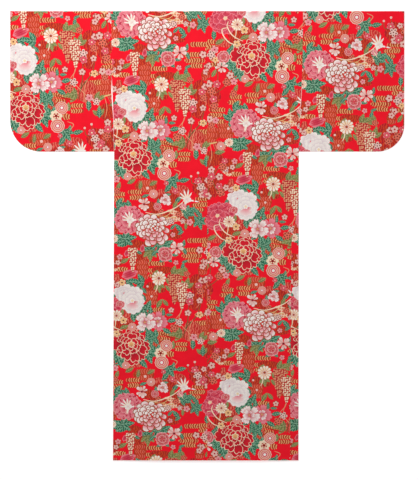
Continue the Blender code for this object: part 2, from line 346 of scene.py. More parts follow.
def white_peony(dice):
    """Two heads of white petals, one behind the other, flushed with pink below."""
    behind = peony(dice, "mist", "white", "mist", 0.024, "blush", LOOSE_RINGS, 0.20)
    areas = [area.placed(0.66, 0.0, np.array([-0.44, 0.36])) for area in behind]
    front = peony(dice, "mist", "white", "mist", 0.024, "blush", LOOSE_RINGS, 0.18)
    for lean, reach, spread, near in ((math.pi, 0.78, 0.90, "pink"), (2.1, 0.52, 0.45, "rose")):
        petal_below = turned(petal(0.14, reach, spread, 3), lean)
        front.append(Area(petal_below, near, "white", (0.20, reach), STREAKS, "pink", lean))
    front.append(Area(lobed(0.20, 5, 0.3), "white"))
    front.append(Area(lobed(0.12, 5, 0.3), "straw", "cream", (0.0, 0.12)))
    return areas + [area.placed(0.86, 0.0, np.array([0.12, -0.10])) for area in front]


def pink_peony(dice):
    """Frilled pink petals with dark folds."""
    areas = peony(dice, "magenta", "pink", "blush", 0.014, "rose", FRILLED_RINGS)
    return areas + dark_marks(dice, 22)


MARK_ROUNDS = 2.4            # how often the dark marks go round a flower


def dark_marks(dice, count):
    """Small dark folds between the petals."""
    areas = []
    for step in range(count):
        angle = 2 * math.pi * (step + dice.uniform(-0.3, 0.3)) / count * MARK_ROUNDS
        at = polar(dice.uniform(0.25, 0.92), np.array([angle]))[0]
        mark = turned(leaf_outline(0.22, 0.055, 2), angle + dice.uniform(-0.8, 0.8)) + at
        areas.append(Area(mark, "magenta"))
    return areas


def rose_peony(dice):
    """Deep pink petals with pale rims round a gold heart."""
    areas = peony(dice, "magenta", "rose", "pink", 0.036, "pink", FRILLED_RINGS, 0.14)
    areas.append(Area(lobed(0.14, 5, 0.3), "gold", "cream", (0.0, 0.14)))
    return areas + dark_marks(dice, 14)


def open_peony(dice, tip, count):
    """Ruffled petals that open round a dark heart, deep pink at their foot."""
    areas = ring_of_petals(dice, count, 0.06, 1.04, 1.0, "magenta", tip, "rose", 0.026, 3, 0.14, 0.24,
                           line="pink", jitter=0.22, shown=(0.16, 0.80))
    areas += ring_of_petals(dice, 5, 0.04, 0.62, 1.0, "magenta", "white", "rose", 0.026, 2, 0.14, 0.20,
                            line="pink", jitter=0.22, shown=(0.10, 0.46))
    return areas + [Area(lobed(0.12, 5, 0.4), "crimson", "straw", (0.0, 0.12))]


def rosette(dice):
    """A small double flower of salmon petals."""
    areas = peony(dice, "coral", "pink", "blush", 0.050, "rose", ROSETTE_RINGS)
    return areas + [Area(disc(0.17, 7), "rose")]


def chrysanthemum(dice):
    """Rings of notched petals like scales, seen from a little below."""
    areas = []
    for count, inner, outer in SCALE_RINGS:
        areas += ring_of_petals(dice, count, inner, outer, 1.12, "pink", "white", "brown", 0.044, 1,
                                0.0, 0.20, fill=PLAIN, jitter=0.16, shown=(-0.30, -0.05))
    return seen_from_below(areas, 0.12)


def daisy(dice):
    """Narrow cream petals round a brown eye."""
    areas = ring_of_petals(dice, 12, 0.2, 1.02, 1.0, "cream", "white", "peach", 0.05, 1, drop=0.2,
                           fill=PLAIN, jitter=0.03)
    return areas + [Area(disc(0.30, 9), "blush"), Area(disc(0.20, 7), "brown")]


def open_flower(dice):
    """White petals that stand a little apart round a dark eye."""
    areas = ring_of_petals(dice, 8, 0.1, 1.04, 0.92, "blush", "white", "brown", 0.03, 1, drop=0.30,
                           line="pink", jitter=0.2)
    return areas + [Area(lobed(0.32, 7, 0.5, 2), "rose"), Area(disc(0.16, 7), "maroon")]


def bar_flower(dice):
    """A cream flower whose petals stand apart round a brown ring."""
    areas = [Area(lobed(1.0, 8, 0.22), "cream"), Area(disc(0.50, 12), "coral")]
    for step in range(5):
        angle = 2 * math.pi * step / 5
        areas.append(Area(disc(0.14, 5, polar(0.34, np.array([angle]))[0]), "cream"))
    return areas + [Area(disc(0.16, 7), "maroon")]


def ringed_flower(dice):
    """A small full chrysanthemum drawn as rings."""
    areas = [Area(lobed(1.0, 12, 0.12, 3), "blush"), Area(lobed(0.90, 12, 0.12, 3), "salmon")]
    for reach, name in ((0.72, "blush"), (0.62, "salmon"), (0.48, "blush"), (0.38, "rose"),
                        (0.22, "white")):
        areas.append(Area(disc(reach, 14 if reach > 0.4 else 9), name))
    return areas


def plum(dice, edge="coral", body="blush", eye="crimson"):
    """A plum blossom: five round petals and an eye."""
    phase = dice.uniform(0, math.pi)
    return [Area(disc(0.95, 9), "rust"), Area(lobed(1.0, 5, 0.38, 4, phase), edge),
            Area(lobed(0.84, 5, 0.36, 4, phase), body, body, fill=STREAKS, line=edge),
            Area(disc(0.22, 6), eye)]


def spotted_plum(dice, body="blush"):
    """A plum blossom with a dark spot on each petal."""
    phase = dice.uniform(0, math.pi)
    areas = [Area(disc(0.86, 9), "rust"), Area(lobed(1.0, 5, 0.46, 4, phase), body)]
    for step in range(5):
        at = polar(0.58, np.array([phase + 2 * math.pi * step / 5]))[0]
        areas.append(Area(disc(0.17, 5, at), "maroon"))
    return areas + [Area(disc(0.17, 5), "maroon")]


def dot(dice):
    """A small round bud."""
    return [Area(disc(1.0, 7), "blush")]


def bud(dice):
    """A closed flower, striped along its petals."""
    areas = [Area(leaf_outline(2.1, 0.68, 2) - np.array([0.0, 1.05]), "rose", "pink", (0.1, 0.8))]
    for aside in (-0.24, 0.24, 0.0):
        stripe = leaf_outline(1.8, 0.13, 2) - np.array([0.0, 0.9])
        stripe[:, 0] += aside * (1.0 - 0.35 * stripe[:, 1] ** 2)
        areas.append(Area(stripe, "magenta", "rose", (0.1, 0.8)))
    return areas


def leaf(dice, near="pine", far="teal", line="mint", length=2.0, width=0.50, lean=0.0, foot=-1.0):
    """A leaf from its foot to its tip, darker at the foot, with pale veins."""
    outline = turned(leaf_outline(length, width), lean) + np.array([0.0, foot])
    return [Area(outline, near, far, (0.0, 0.7 * length), VEINS, line, lean, (0.0, foot),
                 (width, length))]


def spray(dice, near="pine", far="teal", line="mint"):
    """Three leaflets fanned out from one stalk."""
    areas = []
    for lean, length in ((-0.75, 1.55), (0.75, 1.6), (0.0, 1.95)):
        areas += leaf(dice, near, far, line, length, 0.46, lean + dice.uniform(-0.1, 0.1), -0.95)
    return areas


CLUSTER_POINTS = 9           # down each side of a hanging cluster
PATCH_POINTS = 20            # round a ground patch


def cluster(dice, body="peach", spot="crimson"):
    """A hanging cluster of florets, wide above and narrow below."""
    steps = np.arange(CLUSTER_POINTS)
    share = steps / (CLUSTER_POINTS - 1)
    width = (0.36 * (1 - share ** 1.7) + 0.06) * (1 + 0.16 * np.where(steps % 2, 1, -1))
    right = np.stack([width, 1 - 2 * share], axis=1)
    left = right[::-1] * np.array([-1.0, 1.0])
    return [Area(np.concatenate([right, left]), body, fill=FLORETS, line=spot)]


def patch(dice, near, far, fill, line):
    """A ground patch with a wavy outline."""
    angle = np.arange(PATCH_POINTS) * 2 * math.pi / PATCH_POINTS
    reach = 1.0
    for waves, height in ((3, 0.09), (5, 0.06)):
        reach = reach + height * np.sin(waves * angle + dice.uniform(0, 6))
    return [Area(polar(reach, angle), near, far, fill=fill, line=line)]


ROW_HEIGHT = 5.6             # of one row of ripples
ROW_FILLED = 0.86            # how much of its height the ink takes up


def ripple_rows(dice, wide, high, near, line):
    """Rows of gold ripples with round ends, one over the other."""
    areas = []
    rows = max(1, round(2 * high / ROW_HEIGHT))
    half = high / rows
    for row in range(rows):
        middle = high - half * (2 * row + 1)
        start, end = -wide * dice.uniform(0.80, 1.02), wide * dice.uniform(0.80, 1.02)
        turn = np.linspace(0, math.pi, 5)
        right = np.stack([end - half + half * np.sin(turn), half * np.cos(turn)], axis=1)
        left = np.stack([start + half - half * np.sin(turn), -half * np.cos(turn)], axis=1)
        outline = np.concatenate([right, left]) * np.array([1.0, ROW_FILLED]) + np.array([0.0, middle])
        areas.append(Area(outline, near, "coral", (0, wide), RIPPLES, line, centre=(0.0, middle),
                          unit=(1.0 if row % 2 else -1.0, half)))
    return areas


def crane(dice):
    """A flying crane: spread feathers, a round body and a tail."""
    areas = []
    for lean, length in ((-1.25, 0.95), (-0.80, 1.15), (-0.32, 1.2), (0.12, 1.15), (0.55, 0.95)):
        feather = turned(leaf_outline(length, 0.11, 2), lean)
        areas.append(Area(feather, "cream", "white", (0.2, 0.9)))
    areas.append(Area(lobed(0.46, 6, 0.2) * np.array([1.0, 0.75]), "blush", "white", (0.0, 0.4)))
    areas.append(Area(turned(leaf_outline(1.35, 0.10, 2), 1.75), "white"))
    areas.append(Area(turned(leaf_outline(0.9, 0.16, 2), 3.6), "white", "cream"))
    return areas + [Area(disc(0.09, 6, (0.75, -0.13)), "red")]


# What draws each motif, and its inks where they differ
DRAWN_BY = {
    "red peony": (red_peony,),
    "white peony": (white_peony,),
    "pink peony": (pink_peony,),
    "rose peony": (rose_peony,),
    "pale peony": (open_peony, "white", 7),
    "tipped peony": (open_peony, "pink", 6),
    "rosette": (rosette,),
    "chrysanthemum": (chrysanthemum,),
    "daisy": (daisy,),
    "open": (open_flower,),
    "bar": (bar_flower,),
    "ringed": (ringed_flower,),
    "plum": (plum,),
    "pink plum": (plum, "blush", "pink", "crimson"),
    "rose plum": (plum, "pink", "rose", "cream"),
    "gold plum": (plum, "cream", "gold", "maroon"),
    "spotted": (spotted_plum,),
    "salmon spotted": (spotted_plum, "salmon"),
    "dot": (dot,),
    "bud": (bud,),
    "leaf": (leaf,),
    "olive": (leaf, "moss", "olive", "sage"),
    "spray": (spray,),
    "olive spray": (spray, "moss", "olive", "sage"),
    "cluster": (cluster,),
    "cream cluster": (cluster, "cream", "coral"),
    "bark": (patch, "orange", "orange", SWIRLS, "rust"),
    "salmon": (patch, "scarlet", "coral", SWIRLS, "salmon"),
    "net": (patch, "salmon", "peach", NET, "cream"),
    "dark": (patch, "rust", "crimson", SWIRLS, "orange"),
    "crane": (crane,),
}
RIPPLE_INKS = {"bark": ("orange", "salmon"), "ripples": ("rust", "gold")}

# The chart, from the lowest to the uppermost: a motif, its middle in squares across and down, half
# its width, its turn in degrees (0 where left out) and its height for its width (1 where left out)
GROUNDS = (
    ("bark", 112, 31, 9, 0, 0.9), ("bark", 96, 36, 9.5, 0, 0.95), ("bark", 145, 73, 6.5, 0, 2.0),
    ("ripples", 103, 13, 9, 0, 0.6), ("ripples", 104, 22, 8, 0, 0.35), ("dark", 140, 49, 9, 0, 0.5),
    ("ripples", 201, 45, 11, 0, 0.26), ("ripples", 195, 58, 12, 0, 0.48),
    ("ripples", 196, 66, 9, 0, 0.3), ("ripples", 159, 69, 10, 0, 0.28), ("ripples", 124, 75, 7, 0, 0.4),
    ("ripples", 156, 79, 6.5, 0, 0.8), ("dark", 153, 95, 5.5, 0, 1.3), ("bark", 154, 105, 7, 0, 1.1),
    ("net", 116, 72, 5.5, 0, 0.9), ("ripples", 161, 118, 8.5, 0, 0.34), ("salmon", 129, 125, 9, 0, 0.9),
    ("dark", 117, 135, 8, 0, 1.1), ("ripples", 165, 146, 10, 8, 0.55),
    ("ripples", 184, 157, 8, 0, 0.66), ("ripples", 173, 165, 5, 0, 0.8), ("bark", 146, 187, 11, 0, 0.6),
    ("ripples", 135, 196, 8, 0, 0.7), ("ripples", 118, 198, 8, 0, 0.7),
    ("ripples", 203, 132, 8, 0, 0.35), ("ripples", 203, 123, 6, 0, 0.45), ("salmon", 195, 141, 11),
    ("salmon", 203, 97, 5, 0, 1.2), ("ripples", 92, 144, 6, 0, 0.9), ("salmon", 104, 142, 8, 0, 0.6),
    ("ripples", 97, 161, 6, 0, 0.9), ("salmon", 178, 192, 11, 0, 0.6), ("salmon", 160, 196, 9, 0, 0.6),
    ("ripples", 203, 203, 8, 0, 0.7), ("dark", 100, 88, 9, 0, 1.2), ("dark", 178, 39, 7, 0, 0.7),
    ("net", 178, 19, 12, 0, 0.55), ("dark", 100, 60, 10, 0, 0.8), ("salmon", 119, 86, 4, 0, 1.5),
    ("salmon", 135, 175, 9, 0, 0.5), ("dark", 166, 76, 12, 0, 0.35), ("salmon", 107, 47, 7, 0, 0.8),
    ("dark", 198, 108, 8, 0, 1.3), ("dark", 168, 200, 12, 0, 0.5), ("ripples", 198, 209, 8, 0, 0.6),
    ("dark", 150, 208, 10, 0, 0.5), ("bark", 158, 152, 6, 0, 0.9), ("dark", 118, 143, 7, 0, 0.6),
    ("dark", 182, 210, 8, 0, 0.5), ("bark", 206, 76, 5), ("dark", 200, 90, 8, 0, 1.2),
    ("dark", 201, 188, 8, 0, 1.3), ("dark", 95, 196, 8, 0, 1.4), ("dark", 118, 66, 8, 0, 0.9),
    ("dark", 192, 24, 9, 0, 0.6), ("dark", 163, 18, 12, 0, 0.35), ("dark", 186, 106, 9, 0, 0.6),
    ("dark", 163, 96, 5, 0, 0.9), ("dark", 142, 60, 8, 0, 0.6), ("dark", 133, 136, 9, 0, 0.5),
)

LEAVES = (
    ("spray", 121, 15, 6, -40), ("leaf", 117, 23, 4.5, 10), ("spray", 124, 43, 8.5, -70),
    ("spray", 132, 42, 7.5, 80), ("leaf", 121, 46, 6, -100), ("leaf", 113, 43, 4, 30),
    ("leaf", 189, 19, 4.5, -30), ("leaf", 197, 14, 4, 20), ("spray", 203, 21, 5.5, 10),
    ("spray", 203, 29, 5.5, 170), ("leaf", 176, 31, 3.8, 40), ("leaf", 182, 32, 5.6, -40),
    ("leaf", 184, 37, 3.6, 60), ("olive", 189, 30, 3.6), ("leaf", 171, 48, 6.5, 60),
    ("leaf", 164, 53, 7.5, 50), ("spray", 152, 52, 6), ("olive spray", 153, 61, 6.5, 180),
    ("leaf", 165, 66, 3.6, 70), ("leaf", 172, 65, 4, -50), ("leaf", 187, 48, 4, 10),
    ("leaf", 188, 56, 4, -20), ("leaf", 178, 60, 3.8, 90), ("leaf", 188, 67, 3.4, 70),
    ("leaf", 136, 55, 4.4, 60), ("leaf", 141, 57, 4, -60), ("leaf", 157, 58, 4, 40),
    ("olive", 127, 66, 5, 60), ("spray", 134, 88, 6.5, 80), ("spray", 140, 88, 7, -80),
    ("leaf", 146, 97, 4.5, -40), ("olive", 158, 79, 4.4, 40), ("olive", 171, 88, 4.2, -30),
    ("olive spray", 162, 95, 5, 170), ("olive", 171, 95, 4.5, -40), ("leaf", 186, 72, 4.4, 10),
    ("olive spray", 181, 78, 7, 60), ("olive spray", 186, 77, 5, -60), ("olive spray", 190, 89, 6, 10),
    ("spray", 139, 124, 6.5, 120), ("spray", 147, 120, 7.5, 150), ("leaf", 151, 113, 6, 20),
    ("olive", 124, 120, 4), ("olive", 126, 136, 5, 70), ("leaf", 145, 139, 5.5, 60),
    ("spray", 153, 144, 7, -40), ("leaf", 153, 152, 5.5, 20), ("spray", 156, 160, 7.5, -30),
    ("spray", 151, 168, 8, 160), ("leaf", 145, 175, 6.5, 140), ("olive", 162, 111, 5.5, 30),
    ("olive", 168, 110, 4.5, -40), ("leaf", 166, 121, 4.2), ("leaf", 172, 123, 3.6, 90),
    ("leaf", 175, 129, 5.5, 80), ("leaf", 169, 140, 5.5, -60), ("olive spray", 178, 143, 7.5, -100),
    ("olive", 176, 155, 4.6), ("spray", 173, 184, 7, 150), ("leaf", 168, 189, 5.6, 40),
    ("leaf", 176, 178, 4.6, 10), ("leaf", 184, 181, 5.5, 80), ("leaf", 196, 154, 6),
    ("olive", 205, 145, 5, 30), ("olive spray", 206, 160, 5.5), ("spray", 121, 173, 7.5, 160),
    ("leaf", 115, 164, 6.5), ("olive", 131, 182, 5, 60), ("leaf", 178, 201, 5, 40),
    ("olive", 118, 187, 4.6, 20), ("leaf", 145, 197, 4, 70), ("leaf", 95, 134, 5.4),
    ("olive", 101, 141, 5, 60), ("leaf", 110, 151, 5.6, 20), ("spray", 110, 164, 6.5, 170),
    ("olive", 96, 172, 4.6, 30), ("olive", 94, 46, 5, 60), ("leaf", 91, 61, 5.4),
    ("olive", 107, 53, 5.4, 80), ("olive", 140, 186, 4.6, 10), ("olive", 153, 184, 4.6, 60),
    ("spray", 122, 207, 7, 80), ("leaf", 167, 196, 4, 80), ("olive", 175, 206, 4.6, 30),
    ("spray", 194, 14, 6, 60), ("leaf", 201, 16, 5, -30), ("leaf", 188, 14, 4.4, 70),
    ("spray", 167, 48, 6.5, 30), ("leaf", 161, 50, 5, 100), ("spray", 116, 15, 6.5, -10),
    ("leaf", 150, 143, 6), ("leaf", 158, 150, 5.4, -30), ("leaf", 126, 172, 5.4, 110),
    ("spray", 124, 208, 6.5, -60), ("leaf", 114, 146, 5, 40), ("leaf", 158, 204, 4.4),
    ("leaf", 143, 163, 5), ("leaf", 157, 146, 5, 60), ("leaf", 146, 165, 5.4, 30),
    ("spray", 150, 155, 7, 70), ("leaf", 116, 178, 4.6, 60), ("leaf", 153, 121, 6.4),
    ("leaf", 150, 138, 6, 140), ("leaf", 184, 211, 4.4, 90), ("leaf", 115, 104, 4.4, 20),
    ("leaf", 146, 105, 4.4, -20),
)

FLOWERS = (
    ("pink peony", 132, 24, 14.8), ("crane", 133, 24, 9, -15), ("white peony", 132.5, 106.5, 15.4),
    ("rose peony", 106, 118, 16, -30, 0.86), ("red peony", 133, 157, 19),
    ("chrysanthemum", 156, 34, 17.0, 0, 0.95), ("open", 180, 53, 7.0), ("open", 143.5, 205.5, 6.2, 20),
    ("pale peony", 165, 201, 6.2), ("tipped peony", 160, 130, 10.5), ("pale peony", 147, 131, 10, 10),
    ("rosette", 168, 59, 7.5), ("daisy", 161.5, 84.5, 7.4), ("daisy", 118, 124, 6),
    ("bar", 163, 164, 6.5), ("ringed", 164, 174, 7.2), ("ringed", 169, 156, 6.5),
    ("ringed", 134, 136, 5), ("ringed", 153, 195, 5), ("ringed", 108, 47, 5),
    ("rosette", 105, 156, 6.5), ("open", 103, 166, 6.0, 30), ("rosette", 122, 112, 5),
    ("daisy", 116, 43, 5), ("bud", 132, 80, 8.5, 70), ("bud", 145, 53, 4.6, 10),
    ("bud", 129, 58, 4.4, 20), ("bud", 120, 116, 4.4, -70), ("cluster", 177, 96, 16),
    ("cream cluster", 185, 103, 14), ("cream cluster", 135, 65, 11.5, 0, 1.1), ("plum", 203, 55, 5),
    ("plum", 207, 67, 4), ("pink plum", 193, 26, 4), ("spotted", 174, 25, 4.4),
    ("salmon spotted", 182, 18, 4.4), ("spotted", 186, 25, 3.4), ("salmon spotted", 164, 16, 4.6),
    ("plum", 120, 68, 3.8), ("pink plum", 122, 62, 3.4), ("spotted", 113, 70, 4.4),
    ("plum", 205, 87, 4.8), ("rose plum", 202, 92, 4.4), ("spotted", 193, 103, 5.2),
    ("rose plum", 193, 109, 4.6), ("plum", 203, 108, 4.4), ("salmon spotted", 204, 98, 5),
    ("plum", 119, 91, 4.2), ("gold plum", 124, 89, 4.4), ("gold plum", 125, 129, 4.8),
    ("spotted", 182, 131, 5), ("plum", 191, 121, 4.6), ("plum", 174, 118, 4),
    ("pink plum", 197, 147, 4.6), ("spotted", 204, 151, 4.6), ("rose plum", 198, 182, 4.6),
    ("spotted", 201, 188, 5.4), ("plum", 202, 196, 4.8), ("plum", 207, 181, 3.8),
    ("rose plum", 207, 193, 4.4), ("dot", 147, 189, 1.8), ("dot", 115, 29, 1.6),
    ("dot", 154, 103.5, 1.5), ("dot", 150, 93, 1.4), ("dot", 198, 173.5, 1.5), ("dot", 191, 177, 1.4),
    ("gold plum", 203, 123, 4.2), ("salmon spotted", 177, 137, 5.4), ("pink plum", 176, 39, 3),
    ("pink plum", 179, 68, 3), ("pink plum", 96, 149, 4.6), ("spotted", 93, 154, 5.4),
    ("plum", 90, 165, 4.6), ("gold plum", 97, 159, 3.6), ("plum", 112, 174, 5),
    ("salmon spotted", 109, 181, 5.2), ("pink plum", 116, 180, 4), ("plum", 91, 183, 5.2),
    ("rose plum", 99, 183, 4.4), ("salmon spotted", 94, 190, 5.6), ("rose plum", 96, 198, 4.4),
    ("salmon spotted", 97, 205, 5.2), ("plum", 96, 20, 5), ("pink plum", 102, 21, 4),
    ("salmon spotted", 98, 26, 4.4), ("salmon spotted", 110, 68, 5.2), ("rose plum", 112, 62, 3.6),
    ("plum", 99, 71, 4.8), ("rose plum", 99, 78, 5), ("plum", 107, 78, 5), ("plum", 92, 80, 4),
    ("salmon spotted", 97, 85, 5.2), ("rose plum", 107, 88, 4.4), ("salmon spotted", 109, 94, 5.4),
    ("plum", 114, 89, 4.4), ("rose plum", 91, 94, 4.4), ("plum", 96, 98, 5),
    ("salmon spotted", 116, 192, 4.6), ("rose plum", 175, 192, 3.6), ("crane", 187, 201, 9.5),
    ("plum", 206, 72, 4.4), ("rosette", 157, 208, 4.6), ("ringed", 127, 177, 4.6),
    ("gold plum", 118, 143, 4.6), ("pink plum", 183, 208, 4.2), ("plum", 141, 148, 2.6),
    ("rose plum", 166, 184, 3), ("salmon spotted", 190, 80, 4.2),
)

# Strokes of the brush under and over the flowers: ink, width, and the squares across and down that
# each passes through
STROKES = (
    ("cream", 1.2, ((155, 88), (160, 92), (158, 99))),
    ("moss", 0.9, ((204, 112), (200, 124), (190, 136), (185, 150))),
    ("moss", 0.8, ((192, 112), (191, 128), (188, 140))),
    ("peach", 0.7, ((184, 118), (182, 130), (190, 140), (196, 146))),
    ("moss", 0.7, ((198, 174), (199, 182), (202, 200))),
    ("moss", 0.7, ((191, 177), (192, 184), (198, 184))), ("peach", 0.7, ((97, 45), (99, 56), (97, 66))),
    ("straw", 1.4, ((96, 45), (104, 43))), ("moss", 0.8, ((96, 66), (100, 82), (108, 98))),
    ("moss", 0.8, ((110, 64), (104, 72), (98, 84), (95, 100))),
    ("moss", 0.7, ((93, 150), (97, 165), (100, 176), (96, 192))),
    ("moss", 0.7, ((112, 176), (106, 186), (98, 192))),
    ("peach", 0.7, ((204, 92), (206, 104), (200, 116))),
    ("straw", 0.8, ((142, 20), (155, 18), (168, 20), (176, 14))),
    ("straw", 0.8, ((168, 20), (178, 21), (186, 14))),
    ("peach", 0.8, ((186, 108), (184, 120), (178, 128))),
    ("peach", 0.8, ((196, 128), (192, 140), (194, 156))),
    ("rust", 1.2, ((163, 143), (174, 147), (183, 149))),
    ("peach", 0.8, ((174, 170), (180, 173), (176, 179))),
)
UPPER_STROKES = (
    ("cream", 1.1, ((109, 127), (103, 129), (105, 136), (111, 142), (119, 144))),
    ("cream", 1.1, ((109, 121), (108, 126), (112, 133), (117, 137), (124, 140))),
    ("cream", 0.9, ((109, 125), (116, 127), (117, 132), (116, 138))),
    ("cream", 1.1, ((145, 214), (156, 216), (167, 213), (177, 208), (185, 201))),
    ("cream", 1.0, ((182, 207), (186, 213))),
)
STROKE_STEPS = 4             # from one point of a stroke to the next


def brush_stroke(points, width):
    """A smooth tapering stroke through points."""
    points = np.array([(x, -y) for x, y in points], float)
    count = len(points)
    ends = np.vstack([2 * points[0] - points[1], points, 2 * points[-1] - points[-2]])
    line = []
    for i in range(count - 1):
        p0, p1, p2, p3 = ends[i:i + 4]
        for t in np.arange(STROKE_STEPS) / STROKE_STEPS:
            line.append(0.5 * (2 * p1 + (p2 - p0) * t + (2 * p0 - 5 * p1 + 4 * p2 - p3) * t * t
                               + (3 * p1 - p0 - 3 * p2 + p3) * t ** 3))
    line = np.array(line + [points[-1]])
    along = np.gradient(line, axis=0)
    along /= np.linalg.norm(along, axis=1, keepdims=True)
    half = width / 2 * (0.35 + 0.65 * np.sin(math.pi * np.linspace(0.08, 0.92, len(line))))
    across = np.stack([-along[:, 1], along[:, 0]], axis=1) * half[:, None]
    return np.concatenate([line + across, (line - across)[::-1]])


def brush_strokes(table):
    """The strokes of a table as areas."""
    return [Area(brush_stroke(points, width), name) for name, width, points in table]


def place_motif(dice, motif, across, down, size, turn=0.0, tall=1.0):
    """A motif's areas at its place in the chart, with the rows of ripples on it."""
    place = np.array([across, -down], float)
    areas = []
    if motif in DRAWN_BY:
        draw, *inks = DRAWN_BY[motif]
        areas += [area.placed(size, math.radians(turn), place, tall) for area in draw(dice, *inks)]
    if motif in RIPPLE_INKS:
        areas += [area.placed(1.0, math.radians(turn), place)
                  for area in ripple_rows(dice, size, size * tall, *RIPPLE_INKS[motif])]
    return areas


CHART_SEED = 11
SMALL_BLOSSOM, BLOSSOM_SHARE = 6.0, 0.88     # the small blossoms leave some ground between them


def draw_chart():
    """All areas of one repeat, from the lowest to the uppermost, with down as -Y."""
    dice = random.Random(CHART_SEED)
    areas = []
    for row in GROUNDS + LEAVES:
        areas += place_motif(dice, *row)
    areas += brush_strokes(STROKES)
    for motif, across, down, size, *rest in FLOWERS:
        if size < SMALL_BLOSSOM:
            size = size * BLOSSOM_SHARE
        areas += place_motif(dice, motif, across, down, size, *rest)
    return areas + brush_strokes(UPPER_STROKES)


# The repeat

REPEAT_DOWN = np.array([-3.53, -198.15])     # from a motif to the same one below it
REPEAT_ASIDE = np.array([118.8, 97.0])       # and to the same one beside it, half a repeat up
REPEAT_CORNER = np.array([91.0, -12.0])      # the upper left corner of the repeat that is drawn
LEAN = REPEAT_DOWN[0] / REPEAT_DOWN[1]
REPEAT_WIDTH = REPEAT_ASIDE[0] - LEAN * REPEAT_ASIDE[1]
REPEAT_HEIGHT = -REPEAT_DOWN[1]
TILES = (4, 7)                               # the repeat is triangulated in parts, for speed
SNAP = 0.004                                 # squares; points closer than this are one
RIM = 6.0                                    # squares; how far beside it areas are kept
REPEATS_ROUND = 14                           # how far the print is repeated each way


def cut(points, edges, faces, snap):
    """Blender's triangulation of points that keeps the given edges and face outlines."""
    vectors = [Vector(p) for p in points]
    return delaunay_2d_cdt(vectors, edges, faces, 0, snap, True)


